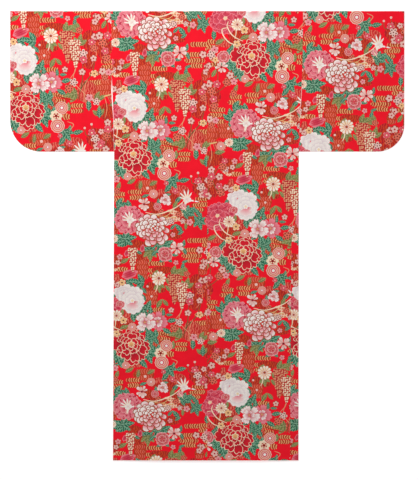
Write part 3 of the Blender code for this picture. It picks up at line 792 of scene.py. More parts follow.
class Repeat:
    """One repeat of the print as the areas of ink that show."""

    def __init__(self, inks):
        self.areas = []
        self.gather_copies(draw_chart())
        self.cut_tiles()
        self.read_inks(inks)

    def gather_copies(self, drawn):
        """Adds what reaches in from the repeats around this one."""
        low = REPEAT_CORNER + np.array([-RIM, -REPEAT_HEIGHT - 1.0])
        high = REPEAT_CORNER + np.array([REPEAT_WIDTH + RIM, 1.0])
        shifts = [i * REPEAT_ASIDE + j * REPEAT_DOWN for i in (-1, 0, 1) for j in (-2, -1, 0, 1, 2)]
        for area in drawn:
            for shift in shifts:
                points = area.outline + shift
                if (points.max(axis=0) > low).all() and (points.min(axis=0) < high).all():
                    self.areas.append(area.placed(1.0, 0.0, np.zeros(2), 1.0, shift))
        self.lows = np.array([a.outline.min(axis=0) for a in self.areas])
        self.highs = np.array([a.outline.max(axis=0) for a in self.areas])

    def cut_tiles(self):
        """Triangulates the repeat and keeps, for each triangle, the uppermost area on it."""
        corners, tops, borders = [], [], []
        for column in range(TILES[0]):
            for row in range(TILES[1]):
                self.cut_tile(column, row, corners, tops, borders)
        triangles = np.array(corners)
        self.tops = np.array(tops)
        self.borders = np.array(borders)
        flat = triangles.reshape(-1, 2)
        points = [(x, y, 0.0) for x, y in flat.tolist()]
        polygons = np.arange(len(flat)).reshape(-1, 3).tolist()
        self.tree = BVHTree.FromPolygons(points, polygons, all_triangles=True)

    def cut_tile(self, column, row, corners, tops, borders):
        """Adds one part's triangles, their uppermost areas and the borders between unlike ones."""
        width, height = REPEAT_WIDTH / TILES[0], REPEAT_HEIGHT / TILES[1]
        straight_x = REPEAT_CORNER[0] - LEAN * REPEAT_CORNER[1] + width * column
        y = REPEAT_CORNER[1] - height * row
        frame_points = [(straight_x + dx + LEAN * (y - dy), y - dy)
                        for dx, dy in ((0, 0), (0, height), (width, height), (width, 0))]
        low, high = np.min(frame_points, axis=0), np.max(frame_points, axis=0)
        near = np.nonzero(((self.highs > low) & (self.lows < high)).all(axis=1))[0]
        points = list(frame_points)
        faces = []
        for index in near:
            outline = self.areas[index].outline
            faces.append(list(range(len(points), len(points) + len(outline))))
            points.extend(map(tuple, outline))
        out = cut(points, [(0, 1), (1, 2), (2, 3), (3, 0)], faces, SNAP)
        spots = np.array([(v.x, v.y) for v in out[0]])
        triangles = np.array(out[2])
        middle = spots[triangles].mean(axis=1)
        aside = middle[:, 0] - LEAN * middle[:, 1] - straight_x
        inside = (aside > 0) & (aside < width) & (middle[:, 1] < y) & (middle[:, 1] > y - height)
        top = np.array([near[max(ids)] if ids else -1 for ids in out[5]])
        sides = {}
        for index in np.nonzero(inside)[0]:
            a, b, c = triangles[index]
            for pair in ((a, b), (b, c), (c, a)):
                key = (min(pair), max(pair))
                sides.setdefault(key, []).append(top[index])
            corners.append(spots[triangles[index]])
            tops.append(top[index])
        for (a, b), found in sides.items():
            if len(found) == 2 and found[0] != found[1]:
                borders.append((spots[a], spots[b]))

    def read_inks(self, inks):
        """Tables of what the shader needs, a row for each area and a last one for the ground."""
        plain = Area(np.zeros((3, 2)), "red")
        rows = self.areas + [plain]
        self.near = np.array([getattr(inks, a.near) for a in rows])
        self.far = np.array([getattr(inks, a.far) for a in rows])
        self.line = np.array([getattr(inks, a.line) for a in rows])
        self.reach = np.array([a.reach for a in rows])
        self.fill = np.array([a.fill for a in rows])
        self.turn = np.array([a.turn for a in rows])
        self.centre = np.array([a.centre for a in rows])
        self.unit = np.array([a.unit or (1.0, 1.0) for a in rows])

    @staticmethod
    def shifts_home(points):
        """What brings points of the endless print into the repeat that is drawn."""
        aside = points[:, 0] - LEAN * points[:, 1] - (REPEAT_CORNER[0] - LEAN * REPEAT_CORNER[1])
        shift = -np.floor(aside / REPEAT_WIDTH)[:, None] * REPEAT_ASIDE
        down = REPEAT_CORNER[1] - (points[:, 1] + shift[:, 1])
        return shift - np.floor(down / REPEAT_HEIGHT)[:, None] * REPEAT_DOWN

    def area_at(self, points):
        """The uppermost area at each point of the drawn repeat; -1 is the plain ground."""
        found = np.full(len(points), -1)
        down = Vector((0.0, 0.0, -1.0))
        for index, (x, y) in enumerate(points.tolist()):
            _, _, triangle, _ = self.tree.ray_cast(Vector((x, y, 1.0)), down)
            if triangle is None:
                _, _, triangle, _ = self.tree.find_nearest(Vector((x, y, 0.0)))
            found[index] = self.tops[triangle]
        return found

    def borders_within(self, low, high):
        """The borders of all areas, repeated over a box of the endless print."""
        sets = []
        for i in range(-REPEATS_ROUND, REPEATS_ROUND + 1):
            for j in range(-REPEATS_ROUND, REPEATS_ROUND + 1):
                moved = self.borders + (i * REPEAT_ASIDE + j * REPEAT_DOWN)
                if (moved.max(axis=(0, 1)) < low).any() or (moved.min(axis=(0, 1)) > high).any():
                    continue
                ends_low, ends_high = moved.min(axis=1), moved.max(axis=1)
                sets.append(moved[((ends_high > low) & (ends_low < high)).all(axis=1)])
        return np.concatenate(sets)


# How each panel's cloth carries the print

SHOULDER_SQUARE = 11.0       # the shoulder line, in squares down the photograph
CENTRE_SQUARE = 207.25       # the garment's centre line, in squares across it
LEAN_ROW, LEAN_COLUMN = 108.0, 160.0         # a panel's lean turns about this point
FALL_COLUMN = 207.0          # the column towards which the print stands closer
FALL_DOWN = 0.000299         # how much closer it stands towards the hem, for each square down
FALL_ACROSS = 0.000102

# Squares across and down by which each panel's print is shifted, and its lean in radians
PANEL_PRINT = {
    "body_left": (0.0, 0.0, 0.0),
    "body_right": (117.35, -97.54, 0.0206),
    "side_strip": (185.3, 0.0, 0.02),
    "sleeve_left": (-107.27, -47.94, -0.0336),
    "sleeve_right": (189.35, -155.73, 0.0231),
    "okumi_left": (31.0, 64.0, 0.012),
    "okumi_right": (-22.0, 118.0, -0.009),
    "collar": (55.0, -20.0, 0.0),
}


def cloth_to_print(points, panel):
    """Flat cloth, as metres from the centre and down from the shoulder, to the endless print."""
    shift_x, shift_y, lean = PANEL_PRINT[panel]
    x = CENTRE_SQUARE + points[:, 0] / SQUARE
    y = SHOULDER_SQUARE + points[:, 1] / SQUARE
    t = np.maximum(y, SHOULDER_SQUARE) - LEAN_ROW
    top = SHOULDER_SQUARE - LEAN_ROW
    flat_y = np.maximum(y, SHOULDER_SQUARE) + FALL_DOWN * t * t / 2
    flat_y += np.minimum(y - SHOULDER_SQUARE, 0.0) * (1 + FALL_DOWN * top)
    flat_x = FALL_COLUMN + (x - FALL_COLUMN) * (1 + FALL_ACROSS * t)
    u = flat_x - shift_x + lean * (flat_y - LEAN_ROW)
    v = flat_y - shift_y - lean * (flat_x - shift_x - LEAN_COLUMN)
    return np.stack([u, -v], axis=1)


def print_to_cloth(points, panel):
    """The way back from the endless print to the flat cloth."""
    shift_x, shift_y, lean = PANEL_PRINT[panel]
    u, v = points[:, 0], -points[:, 1]
    aside = (u - lean * (v + shift_y - LEAN_ROW - LEAN_COLUMN * lean)) / (1 + lean * lean)
    flat_y = v + shift_y + lean * (aside - LEAN_COLUMN)
    flat_x = aside + shift_x
    top = SHOULDER_SQUARE - LEAN_ROW
    at_shoulder = SHOULDER_SQUARE + FALL_DOWN * top * top / 2
    inside = np.maximum(1 + 2 * FALL_DOWN * (flat_y - LEAN_ROW), 0.05)
    below = LEAN_ROW + (np.sqrt(inside) - 1) / FALL_DOWN
    above = SHOULDER_SQUARE + (flat_y - at_shoulder) / (1 + FALL_DOWN * top)
    y = np.where(flat_y >= at_shoulder, below, above)
    t = np.maximum(y, SHOULDER_SQUARE) - LEAN_ROW
    x = FALL_COLUMN + (flat_x - FALL_COLUMN) / (1 + FALL_ACROSS * t)
    return np.stack([(x - CENTRE_SQUARE) * SQUARE, (y - SHOULDER_SQUARE) * SQUARE], axis=1)


# The laid cloth. A flat point is (metres across, metres along the cloth from the shoulder line);
# the second is positive on the back and negative on the front.

SEAM, CLOSED, HEM, SELVEDGE = range(4)       # kinds of edge
NECK_BLEND = 0.020           # from the flat neck to the cloth that goes over the shoulder


def smooth_fall(start, end, value):
    """1 before start, 0 after end, with a soft slope between."""
    share = np.clip((value - start) / (end - start), 0.0, 1.0)
    return 1.0 - share * share * (3.0 - 2.0 * share)


def side_edge(side, depth):
    """Where the body's side edge is, as a distance from the centre."""
    return np.interp(depth, SIDE_EDGE[:, 0], SIDE_EDGE[:, 1 if side == LEFT else 2])


def sleeve_edge(side, depth):
    """Where the sleeve's inner edge is: sewn on down to the armhole's end, and free below it."""
    if depth <= ARMHOLE:
        return side_edge(side, depth)
    apart = np.interp(depth, SIDE_EDGE[:, 0], SIDE_EDGE[:, 3])
    return side_edge(side, depth) + apart * FREE_EDGE_SHARE[side]


def back_underside(own_x):
    """How high the back lies: over the collar in the middle, and low at the sides."""
    return BACK_LOW + (BACK_HIGH - BACK_LOW) * smooth_fall(PLATEAU_EDGE, BACK_FOOT, own_x)


def front_underside(side, own_x):
    """How high a front lies: the left one on the floor, the right one over the collar's left arm."""
    if side == LEFT:
        return np.zeros_like(own_x)
    return FRONT_HIGH * smooth_fall(PLATEAU_EDGE, FRONT_FOOT, own_x)


def laid_over_shoulder(side, upper, lower):
    """What lays a strip over the shoulder line, and what gives half its height.

    Upper and lower give the undersides of its back and its front. Lift is how far points stand off
    along the outward direction.
    """

    def half_height(points):
        own_x = points[:, 0] * side
        return (upper(own_x) + LAYER - lower(own_x)) / 2

    def place(points, lift):
        own_x, along = points[:, 0] * side, points[:, 1]
        high, low = upper(own_x) + LAYER, lower(own_x)
        half = (high - low) / 2
        angle = np.clip(along / half, -1.0, 1.0) * math.pi / 2
        reach = half + lift
        y = TOP - np.maximum(np.abs(along), half) + reach * np.cos(angle)
        z = (high + low) / 2 + reach * np.sin(angle)
        return np.stack([points[:, 0], y, z], axis=1)

    return place, half_height


class Sheet:
    """One flat layer or strip of a piece: its outline with a kind for each edge, and its place."""

    def __init__(self, panel, side, outline, kinds, place=None, half=None, fold=False, strip=None):
        self.panel, self.side = panel, side
        self.outline = np.array(outline, float)
        self.kinds = np.array(kinds)
        self.place, self.half = place, half
        self.fold = fold                # whether it is folded along the shoulder line
        self.strip = strip              # the part of the sheet that lies beyond a seam on it

    def flat_area(self):
        x, y = self.outline[:, 0], self.outline[:, 1]
        return abs(np.dot(x, np.roll(y, -1)) - np.dot(y, np.roll(x, -1))) / 2

    def edge_distance(self, points, kind):
        """How far points are from the nearest edge of a kind."""
        starts = self.outline[self.kinds == kind]
        if not len(starts):
            return np.full(len(points), 1.0)
        ends = np.roll(self.outline, -1, axis=0)[self.kinds == kind]
        nearest = np.full(len(points), 1.0)
        for start, end in zip(starts, ends):
            run = end - start
            share = np.clip((points - start) @ run / (run @ run), 0, 1)
            away = np.linalg.norm(points - start - share[:, None] * run, axis=1)
            nearest = np.minimum(nearest, away)
        return nearest

    def contains(self, points):
        """Which points lie within the outline."""
        inside = np.zeros(len(points), bool)
        x, y = points[:, 0], points[:, 1]
        for (x1, y1), (x2, y2) in zip(self.outline, np.roll(self.outline, -1, axis=0)):
            if y1 == y2:
                continue
            crosses = (y1 > y) != (y2 > y)
            inside ^= crosses & (x < (x2 - x1) * (y - y1) / (y2 - y1) + x1)
        return inside


# Soft creases of the laid cloth: metres from the centre and down from the shoulder line, direction
# in degrees from straight down, half length, half width and height in millimetres
CREASES = (
    (-0.285, 0.300, 38, 90, 11, 0.50), (-0.240, 0.420, 22, 120, 14, -0.40),
    (0.290, 0.330, -30, 80, 12, 0.50), (0.235, 0.480, -18, 130, 15, -0.40),
    (-0.150, 0.900, 8, 170, 16, 0.35), (0.120, 1.020, -6, 190, 15, 0.35),
    (-0.060, 1.280, 4, 140, 17, -0.30), (0.210, 1.300, 10, 150, 14, 0.40),
    (-0.230, 1.180, -9, 160, 15, 0.40), (-0.480, 0.190, 64, 90, 12, 0.40),
    (0.500, 0.230, -58, 95, 12, 0.40), (-0.560, 0.350, 12, 70, 11, 0.35),
    (0.570, 0.360, -14, 75, 11, 0.35), (-0.400, 0.400, 30, 60, 10, -0.30),
    (0.405, 0.410, -26, 60, 10, -0.30),
)


def softness(points, sizes):
    """Height of the laid cloth's soft waves and creases, on the back alone."""
    x, depth = points[:, 0], np.abs(points[:, 1])
    waves = (np.sin(31 * x + 9 * depth + 0.7) * np.sin(23 * depth + 1.9 * np.sin(11 * x))
             + 0.6 * np.sin(57 * x - 22 * depth + 2.1) * np.sin(41 * depth + 0.4))
    height = sizes.unevenness * 0.5 * waves
    for at_x, at_depth, direction, half_length, half_width, rise in CREASES:
        turn = math.radians(direction)
        dx, dy = x - at_x, depth - at_depth
        along = (dx * math.sin(turn) + dy * math.cos(turn)) / (half_length * MM)
        across = (dx * math.cos(turn) - dy * math.sin(turn)) / (half_width * MM)
        across = across + 0.25 * np.sin(3 * along)
        ridge = np.exp(-across ** 2) * np.clip(1 - along ** 2, 0, 1) ** 1.5
        height = height + rise * MM * ridge
    return np.where(points[:, 1] < 0, 0.0, height)


# The rounding of the cloth's edges
FREE_EDGE_DROP, FREE_EDGE_WIDTH = 0.18 * MM, 0.7 * MM
HEM_STEP = 1.2 * MM          # width of the step up to the folded hem
CLOSED_EDGE_HALF = 0.06 * MM                 # half the height that is left at a closed edge
THINNEST = 0.04 * MM         # the cloth's wall at a closed edge
CALM = 20 * MM               # how far from the edges the soft waves begin


def lifts(sheet, points, sizes):
    """Outer and inner offsets of the cloth at flat points."""
    half = sheet.half(points)
    seam = sheet.edge_distance(points, SEAM)
    if sheet.strip:
        seam = np.minimum(seam, sheet.strip.edge_distance(points, SEAM))
    closed = sheet.edge_distance(points, CLOSED)
    hem = sheet.edge_distance(points, HEM)
    selvedge = sheet.edge_distance(points, SELVEDGE)
    dip = sizes.seam_dip * np.clip(1 - seam / sizes.seam_width, 0, 1) ** 2
    short = np.clip(1 - closed / half, 0, 1)
    round_off = (half - CLOSED_EDGE_HALF) * (1 - np.sqrt(np.clip(1 - short ** 2, 0, 1)))
    free = FREE_EDGE_DROP * np.clip(1 - np.minimum(hem, selvedge) / FREE_EDGE_WIDTH, 0, 1) ** 2
    drop = np.maximum(np.maximum(dip, round_off), free)
    rise = sizes.hem_rise * smooth_fall(sizes.hem_width, sizes.hem_width + HEM_STEP, hem)
    away = np.minimum(np.minimum(seam, closed), np.minimum(hem, selvedge))
    soft = softness(points, sizes) * np.clip(away / CALM, 0, 1)
    wall = sizes.wall * np.clip(closed / half, 0, 1) ** 0.5
    outer = soft - drop + np.where(points[:, 1] > 0, rise, 0.0)
    return outer, outer - np.maximum(wall, THINNEST)


# Where the cloth needs lines of points, in millimetres: beside each kind of edge, and along the
# cloth on both sides of the shoulder line
INSETS = {SEAM: (0.9, 2.4), CLOSED: (0.35, 1.1), HEM: (0.7, 12.0, 13.2), SELVEDGE: (0.7,)}
FOLD_ROWS = (-2.8, -2.0, -1.2, -0.6, 0.0, 0.6, 1.2, 2.0, 2.8)
GRID = 16 * MM               # spacing of the loose points between them
CLOTH_SNAP = 0.02            # mm; points of the cloth closer than this are one
PARALLEL = 1e-15             # stands in for the cross product of lines that never meet


def inset_lines(sheet):
    """Lines beside the edges, where the cloth's roll and hem need points."""
    outline = sheet.outline
    after = np.roll(outline, -1, axis=0)
    turning = np.dot(outline[:, 0], after[:, 1]) - np.dot(outline[:, 1], after[:, 0])
    run = after - outline
    run /= np.linalg.norm(run, axis=1, keepdims=True)
    inward = np.stack([-run[:, 1], run[:, 0]], axis=1) * np.sign(turning)
    lines = []
    count = len(outline)
    for index in range(count):
        for distance in INSETS[sheet.kinds[index]]:
            ends = []
            for corner, neighbour in ((index, index - 1), ((index + 1) % count, (index + 1) % count)):
                normal = inward[index]
                if sheet.kinds[neighbour] == sheet.kinds[index]:
                    normal = normal + inward[neighbour]
                    normal = normal / (1 + inward[index] @ inward[neighbour])
                ends.append(outline[corner] + normal * distance * MM)
            lines.append(ends)
    return lines


def clipped(sheet, pairs, kept=True):
    """The parts of straight pieces of line that lie on a sheet, or off it."""
    inside = (sheet.contains(pairs.reshape(-1, 2)) == kept).reshape(-1, 2)
    crossing = inside[:, 0] != inside[:, 1]
    out = pairs[crossing]
    out = np.where(inside[crossing][:, :1, None], out, out[:, ::-1])      # the first end is inside
    nearest = np.ones(len(out))
    run = out[:, 1] - out[:, 0]
    for start, end in zip(sheet.outline, np.roll(sheet.outline, -1, axis=0)):
        edge = end - start
        across = run[:, 0] * edge[1] - run[:, 1] * edge[0]
        across = np.where(np.abs(across) < PARALLEL, PARALLEL, across)
        gap = start - out[:, 0]
        share = (gap[:, 0] * edge[1] - gap[:, 1] * edge[0]) / across
        along = (gap[:, 0] * run[:, 1] - gap[:, 1] * run[:, 0]) / across
        hit = (share > 0) & (along >= 0) & (along <= 1)
        nearest = np.where(hit & (share < nearest), share, nearest)
    out = np.stack([out[:, 0], out[:, 0] + nearest[:, None] * run], axis=1)
    return np.concatenate([pairs[inside.all(axis=1)], out])


def split_lines(lines, longest):
    """Lines as pieces no longer than a length."""
    pieces = []
    for start, end in lines:
        start, end = np.array(start), np.array(end)
        count = max(1, math.ceil(np.linalg.norm(end - start) / longest))
        shares = np.linspace(0, 1, count + 1)[:, None]
        stops = start * (1 - shares) + end * shares
        pieces += list(zip(stops[:-1], stops[1:]))
    return np.array(pieces).reshape(-1, 2, 2)


def fill_points(sheet, spacing):
    """A loose staggered grid of points inside a sheet."""
    low, high = sheet.outline.min(axis=0), sheet.outline.max(axis=0)
    columns = np.arange(low[0] + spacing / 2, high[0], spacing)
    rows = np.arange(low[1] + spacing / 2, high[1], spacing)
    x, y = np.meshgrid(columns, rows)
    x = x + (np.arange(len(rows)) % 2)[:, None] * spacing / 2
    points = np.stack([x.ravel(), y.ravel()], axis=1)
    points = points[sheet.contains(points)]
    away = np.minimum.reduce([sheet.edge_distance(points, kind) for kind in range(4)])
    return points[away > spacing * 0.35]


def cut_sheet(sheet, segments, spacing):
    """Triangulates a sheet inside its outline, keeping the segments as edges."""
    sides = list(zip(sheet.outline, np.roll(sheet.outline, -1, axis=0)))
    outline = split_lines(sides, spacing / 2)[:, 0]
    count = len(outline)
    edges = [(i, (i + 1) % count) for i in range(count)]
    edges += [(count + 2 * i, count + 2 * i + 1) for i in range(len(segments))]
    given = np.concatenate([outline, segments.reshape(-1, 2), fill_points(sheet, spacing)]) / MM
    out = cut(given, edges, [], CLOTH_SNAP)
    spots = np.array([(v.x, v.y) for v in out[0]]) * MM
    x, y = outline.T
    turning = np.dot(x, np.roll(y, -1)) - np.dot(y, np.roll(x, -1))
    rim = set()
    for (a, b), sources in zip(out[1], out[4]):
        side = min(sources, default=count)
        if side < count:
            run = (outline[(side + 1) % count] - outline[side]) * turning
            rim.add((a, b) if (spots[b] - spots[a]) @ run > 0 else (b, a))
    return spots, inside_rim(np.array(out[2]), rim)


def inside_rim(triangles, rim):
    """The triangles within a rim of directed edges, which run anticlockwise."""
    rows = triangles.tolist()
    owner = {}
    for index, (a, b, c) in enumerate(rows):
        owner[a, b] = owner[b, c] = owner[c, a] = index
    waiting = [owner[pair] for pair in rim if pair in owner]
    kept = np.zeros(len(rows), bool)
    kept[waiting] = True
    while waiting:
        a, b, c = rows[waiting.pop()]
        for pair in ((a, b), (b, c), (c, a)):
            if pair in rim:
                continue
            neighbour = owner.get((pair[1], pair[0]))
            if neighbour is not None and not kept[neighbour]:
                kept[neighbour] = True
                waiting.append(neighbour)
    return triangles[kept]


def boundary_of(triangles):
    """The directed edges that only one triangle has."""
    pairs = np.concatenate([triangles[:, (0, 1)], triangles[:, (1, 2)], triangles[:, (2, 0)]])
    size = triangles.max() + 1
    forward = pairs[:, 0] * size + pairs[:, 1]
    backward = pairs[:, 1] * size + pairs[:, 0]
    return pairs[~np.isin(forward, backward)]


def print_segments(sheet, repeat):
    """The print's borders on a sheet, in flat cloth."""
    corners = np.array([(x, y) for x in (sheet.outline[:, 0].min(), sheet.outline[:, 0].max())
                        for y in np.linspace(sheet.outline[:, 1].min(), sheet.outline[:, 1].max(), 9)])
    reach = cloth_to_print(corners, sheet.panel)
    found = repeat.borders_within(reach.min(axis=0) - 8, reach.max(axis=0) + 8)
    own = print_to_cloth(found.reshape(-1, 2), sheet.panel).reshape(-1, 2, 2)
    if not sheet.strip:
        return own
    beyond = clipped(sheet.strip, print_segments(sheet.strip, repeat))
    return np.concatenate([clipped(sheet.strip, own, kept=False), beyond, seam_lines(sheet.strip)])


def seam_lines(strip):
    """The seam along a strip, and lines on both sides of it where its roll needs points."""
    seam = strip.outline[:len(SIDE_SEAM)]
    insets = INSETS[SEAM]
    lines = []
    for aside in [-inset for inset in reversed(insets)] + [0.0] + list(insets):
        beside = seam + np.array([aside * MM, 0.0])
        lines += list(zip(beside[:-1], beside[1:]))
    return split_lines(lines, 2 * GRID)


def build_sheet(sheet, repeat, sizes):
    """The closed shell of one sheet, as arrays of points, faces and what the shader needs."""
    low, high = sheet.outline.min(axis=0), sheet.outline.max(axis=0)
    folds = [[(low[0], row * MM), (high[0], row * MM)] for row in FOLD_ROWS] if sheet.fold else []
    folds = clipped(sheet, split_lines(folds, GRID))
    insets = split_lines(inset_lines(sheet), 2 * GRID)
    segments = clipped(sheet, np.concatenate([insets, print_segments(sheet, repeat)]))
    spots, outer = cut_sheet(sheet, np.concatenate([folds, segments]), GRID)
    edge = boundary_of(outer)
    used = np.unique(edge)
    renumber = {old: new for new, old in enumerate(used)}
    rim_edges = [(renumber[a], renumber[b]) for a, b in edge.tolist()]
    inner_spots, inner = cut_inner(sheet, spots[used], rim_edges, folds)
    start = len(spots)
    outer_lift, _ = lifts(sheet, spots, sizes)
    _, inner_lift = lifts(sheet, inner_spots, sizes)
    points = np.concatenate([sheet.place(spots, outer_lift), sheet.place(inner_spots, inner_lift)])
    flats = np.concatenate([spots, inner_spots])
    walls = []
    for a, b in edge.tolist():
        a_in, b_in = start + renumber[a], start + renumber[b]
        walls += [(a, b_in, b), (a, a_in, b_in)]
    faces = np.concatenate([outer, inner[:, ::-1] + start, np.array(walls)])
    zone = np.concatenate([np.zeros(len(outer)), np.ones(len(inner)), np.ones(len(walls))]).astype(int)
    p, q, r = (points[faces[:, i]] for i in range(3))
    if np.einsum("ij,ij->i", p, np.cross(q, r)).sum() < 0:
        faces = faces[:, ::-1]
    return {"points": points, "faces": faces, "flats": flats, "zone": zone, "sheet": sheet}


def cut_inner(sheet, rim, edges, lines):
    """The coarse inner side, whose first points are those of the rim."""
    count = len(rim)
    given = np.concatenate([rim, lines.reshape(-1, 2), fill_points(sheet, GRID)]) / MM
    rim_edges = set(edges)
    edges = edges + [(count + 2 * i, count + 2 * i + 1) for i in range(len(lines))]
    out = cut(given, edges, [], CLOTH_SNAP / 20)
    spots = np.array([(v.x, v.y) for v in out[0]]) * MM
    order = np.full(len(spots), -1)
    for index, sources in enumerate(out[3]):
        for source in sources:
            if source < count:
                order[index] = source
    others = np.nonzero(order < 0)[0]
    order[others] = count + np.arange(len(others))
    final = np.zeros((count + len(others), 2))
    final[:count] = rim
    final[order[others]] = spots[others]
    return final, inside_rim(order[np.array(out[2])], rim_edges)


# The sides of a piece lie side by side in its texture. The plain inner sides take little of it.
BAKE_MARGIN = 6 * MM
INNER_SQUEEZE = 0.15
SHARP_FROM = math.radians(50)


def bake_places(built):
    """Texture places for every corner, which together fill one square."""
    places = []
    start = 0.0
    for part in built:
        sheet = part["sheet"]
        flats = part["flats"][part["faces"]]
        across = flats[:, :, 0] * sheet.side - (sheet.outline[:, 0] * sheet.side).min()
        place = np.stack([across, np.abs(flats[:, :, 1])], axis=2)
        on_front = flats[:, :, 1].mean(axis=1) < 0
        for zone, squeeze in ((0, 1.0), (1, INNER_SQUEEZE)):
            for front in (False, True):
                chosen = (part["zone"] == zone) & (on_front == front)
                if chosen.any():
                    place[chosen, :, 0] = place[chosen, :, 0] * squeeze + start
                    start += np.ptp(sheet.outline[:, 0]) * squeeze + BAKE_MARGIN
        places.append(place)
    places = np.concatenate(places).reshape(-1, 2) + BAKE_MARGIN / 2
    return places / (places.max(axis=0) + BAKE_MARGIN / 2)


def make_piece(name, sheets, repeat, sizes, material):
    """Builds a piece of the garment from its sheets."""
    built = [build_sheet(sheet, repeat, sizes) for sheet in sheets]
    points, faces, inks, lines, fills, cloths = [], [], [], [], [], []
    start = 0
    for part in built:
        points.append(part["points"])
        faces.append(part["faces"] + start)
        start += len(part["points"])
        ink_rows, line_rows, fill_rows = corner_inks(part, repeat)
        inks.append(ink_rows)
        lines.append(line_rows)
        fills.append(fill_rows)
        flats = part["flats"][part["faces"]].reshape(-1, 2) / MM
        cloths.append(np.column_stack([flats, np.zeros(len(flats))]))
    points, faces = np.concatenate(points), np.concatenate(faces)
    mesh = bpy.data.meshes.new(name)
    mesh.vertices.add(len(points))
    mesh.vertices.foreach_set("co", points.ravel())
    mesh.loops.add(faces.size)
    mesh.loops.foreach_set("vertex_index", faces.ravel().astype(np.int32))
    mesh.polygons.add(len(faces))
    mesh.polygons.foreach_set("loop_start", np.arange(0, faces.size, 3, dtype=np.int32))
    mesh.update(calc_edges=True)
    texture = mesh.uv_layers.new(name="OFBake")
    texture.data.foreach_set("uv", bake_places(built).ravel())
    for label, rows in (("ink", inks), ("line", lines)):
        rows = np.concatenate(rows).reshape(-1, 3)
        layer = mesh.color_attributes.new(label, "FLOAT_COLOR", "CORNER")
        layer.data.foreach_set("color", np.column_stack([rows, np.ones(len(rows))]).ravel())
    for label, rows in (("fill", fills), ("cloth", cloths)):
        layer = mesh.attributes.new(label, "FLOAT_VECTOR", "CORNER")
        layer.data.foreach_set("vector", np.concatenate(rows).reshape(-1, 3).ravel())
    mesh.polygons.foreach_set("use_smooth", np.ones(len(faces), bool))
    mesh.set_sharp_from_angle(angle=SHARP_FROM)
    mesh.materials.append(material)
    mesh.validate()
    piece = bpy.data.objects.new(name + "_cloth", mesh)
    bpy.context.scene.collection.objects.link(piece)
    return piece


def corner_inks(part, repeat):
    """Ink, line ink and fill place for each corner of each face."""
    sheet, faces = part["sheet"], part["faces"]
    flats = part["flats"][faces]
    corners = cloth_to_print(flats.reshape(-1, 2), sheet.panel).reshape(-1, 3, 2)
    if sheet.strip:
        beyond = sheet.strip.contains(flats.mean(axis=1))
        strip_points = flats[beyond].reshape(-1, 2)
        corners[beyond] = cloth_to_print(strip_points, sheet.strip.panel).reshape(-1, 3, 2)
    shift = repeat.shifts_home(corners.mean(axis=1))
    corners = corners + shift[:, None, :]
    area = np.full(len(faces), -1)
    shown = part["zone"] == 0
    area[shown] = repeat.area_at(corners[shown].mean(axis=1))
    from_centre = corners - repeat.centre[area][:, None, :]
    away = np.linalg.norm(from_centre, axis=2)
    reach = repeat.reach[area]
    share = np.clip((away - reach[:, :1]) / (reach[:, 1:] - reach[:, :1]), 0, 1)[:, :, None]
    inks = repeat.near[area][:, None] * (1 - share) + repeat.far[area][:, None] * share
    turn = repeat.turn[area][:, None]
    across = from_centre[:, :, 0] * np.cos(turn) - from_centre[:, :, 1] * np.sin(turn)
    along = from_centre[:, :, 0] * np.sin(turn) + from_centre[:, :, 1] * np.cos(turn)
    unit = repeat.unit[area]
    fill = np.repeat(repeat.fill[area][:, None], 3, axis=1).astype(float)
    fills = np.stack([across / unit[:, :1], along / unit[:, 1:], fill], axis=2)
    lines = np.repeat(repeat.line[area][:, None], 3, axis=1)
    return inks, lines, fills


# Outlines of the pieces

def side_strip():
    """The narrow strip of cloth beyond the right side seam."""
    outline = [(side_edge(RIGHT, depth) - aside, depth) for depth, aside in SIDE_SEAM]
    beyond = SHOULDER_HALF + GAP
    outline += [(beyond, LENGTH), (beyond, SIDE_SEAM[0][0])]
    kinds = [SEAM] * (len(SIDE_SEAM) - 1) + [SELVEDGE] * 3
    return Sheet("side_strip", RIGHT, outline, kinds)


def body_sheet(side):
    """One strip from the back hem over the shoulder to the front hem."""
    depths = sorted({*SIDE_EDGE[1:, 0], *LONG_SIDE_DEPTHS, SIDE_OPENING_END}, reverse=True)
    outline = [(0.0, LENGTH)]
    kinds = [HEM]
    for depth in depths + [0.0] + [-d for d in reversed(depths)]:
        outline.append((side * side_edge(side, abs(depth)), depth))
        back = depth > 0
        sewn = abs(depth) > SIDE_OPENING_END or (abs(depth) == SIDE_OPENING_END and not back)
        under_arm = abs(depth) > ARMHOLE or (abs(depth) == ARMHOLE and not back)
        kinds.append(CLOSED if sewn else SELVEDGE if under_arm else SEAM)
    kinds[-1] = HEM
    outline += [(side * TIP_FROM_CENTRE, -LENGTH), (side * TIP_FROM_CENTRE, -TIP_DEPTH),
                (side * NECK_HALF, 0.0), (0.0, 0.0)]
    kinds += [SEAM] * 4
    over_shoulder, half = laid_over_shoulder(side, back_underside, partial(front_underside, side))

    def place(points, lift):
        """Over the shoulder, but flat up to the line where the neck is cut."""
        laid = over_shoulder(points, lift)
        own_x = points[:, 0] * side
        flat = np.stack([points[:, 0], TOP - points[:, 1], back_underside(own_x) + LAYER + lift], axis=1)
        neck = smooth_fall(NECK_HALF - NECK_BLEND, NECK_HALF, own_x) * (points[:, 1] >= 0)
        return laid + (flat - laid) * neck[:, None]

    return Sheet("body_" + SIDE_NAMES[side], side, outline, kinds, place, half, fold=True,
                 strip=side_strip() if side == RIGHT else None)


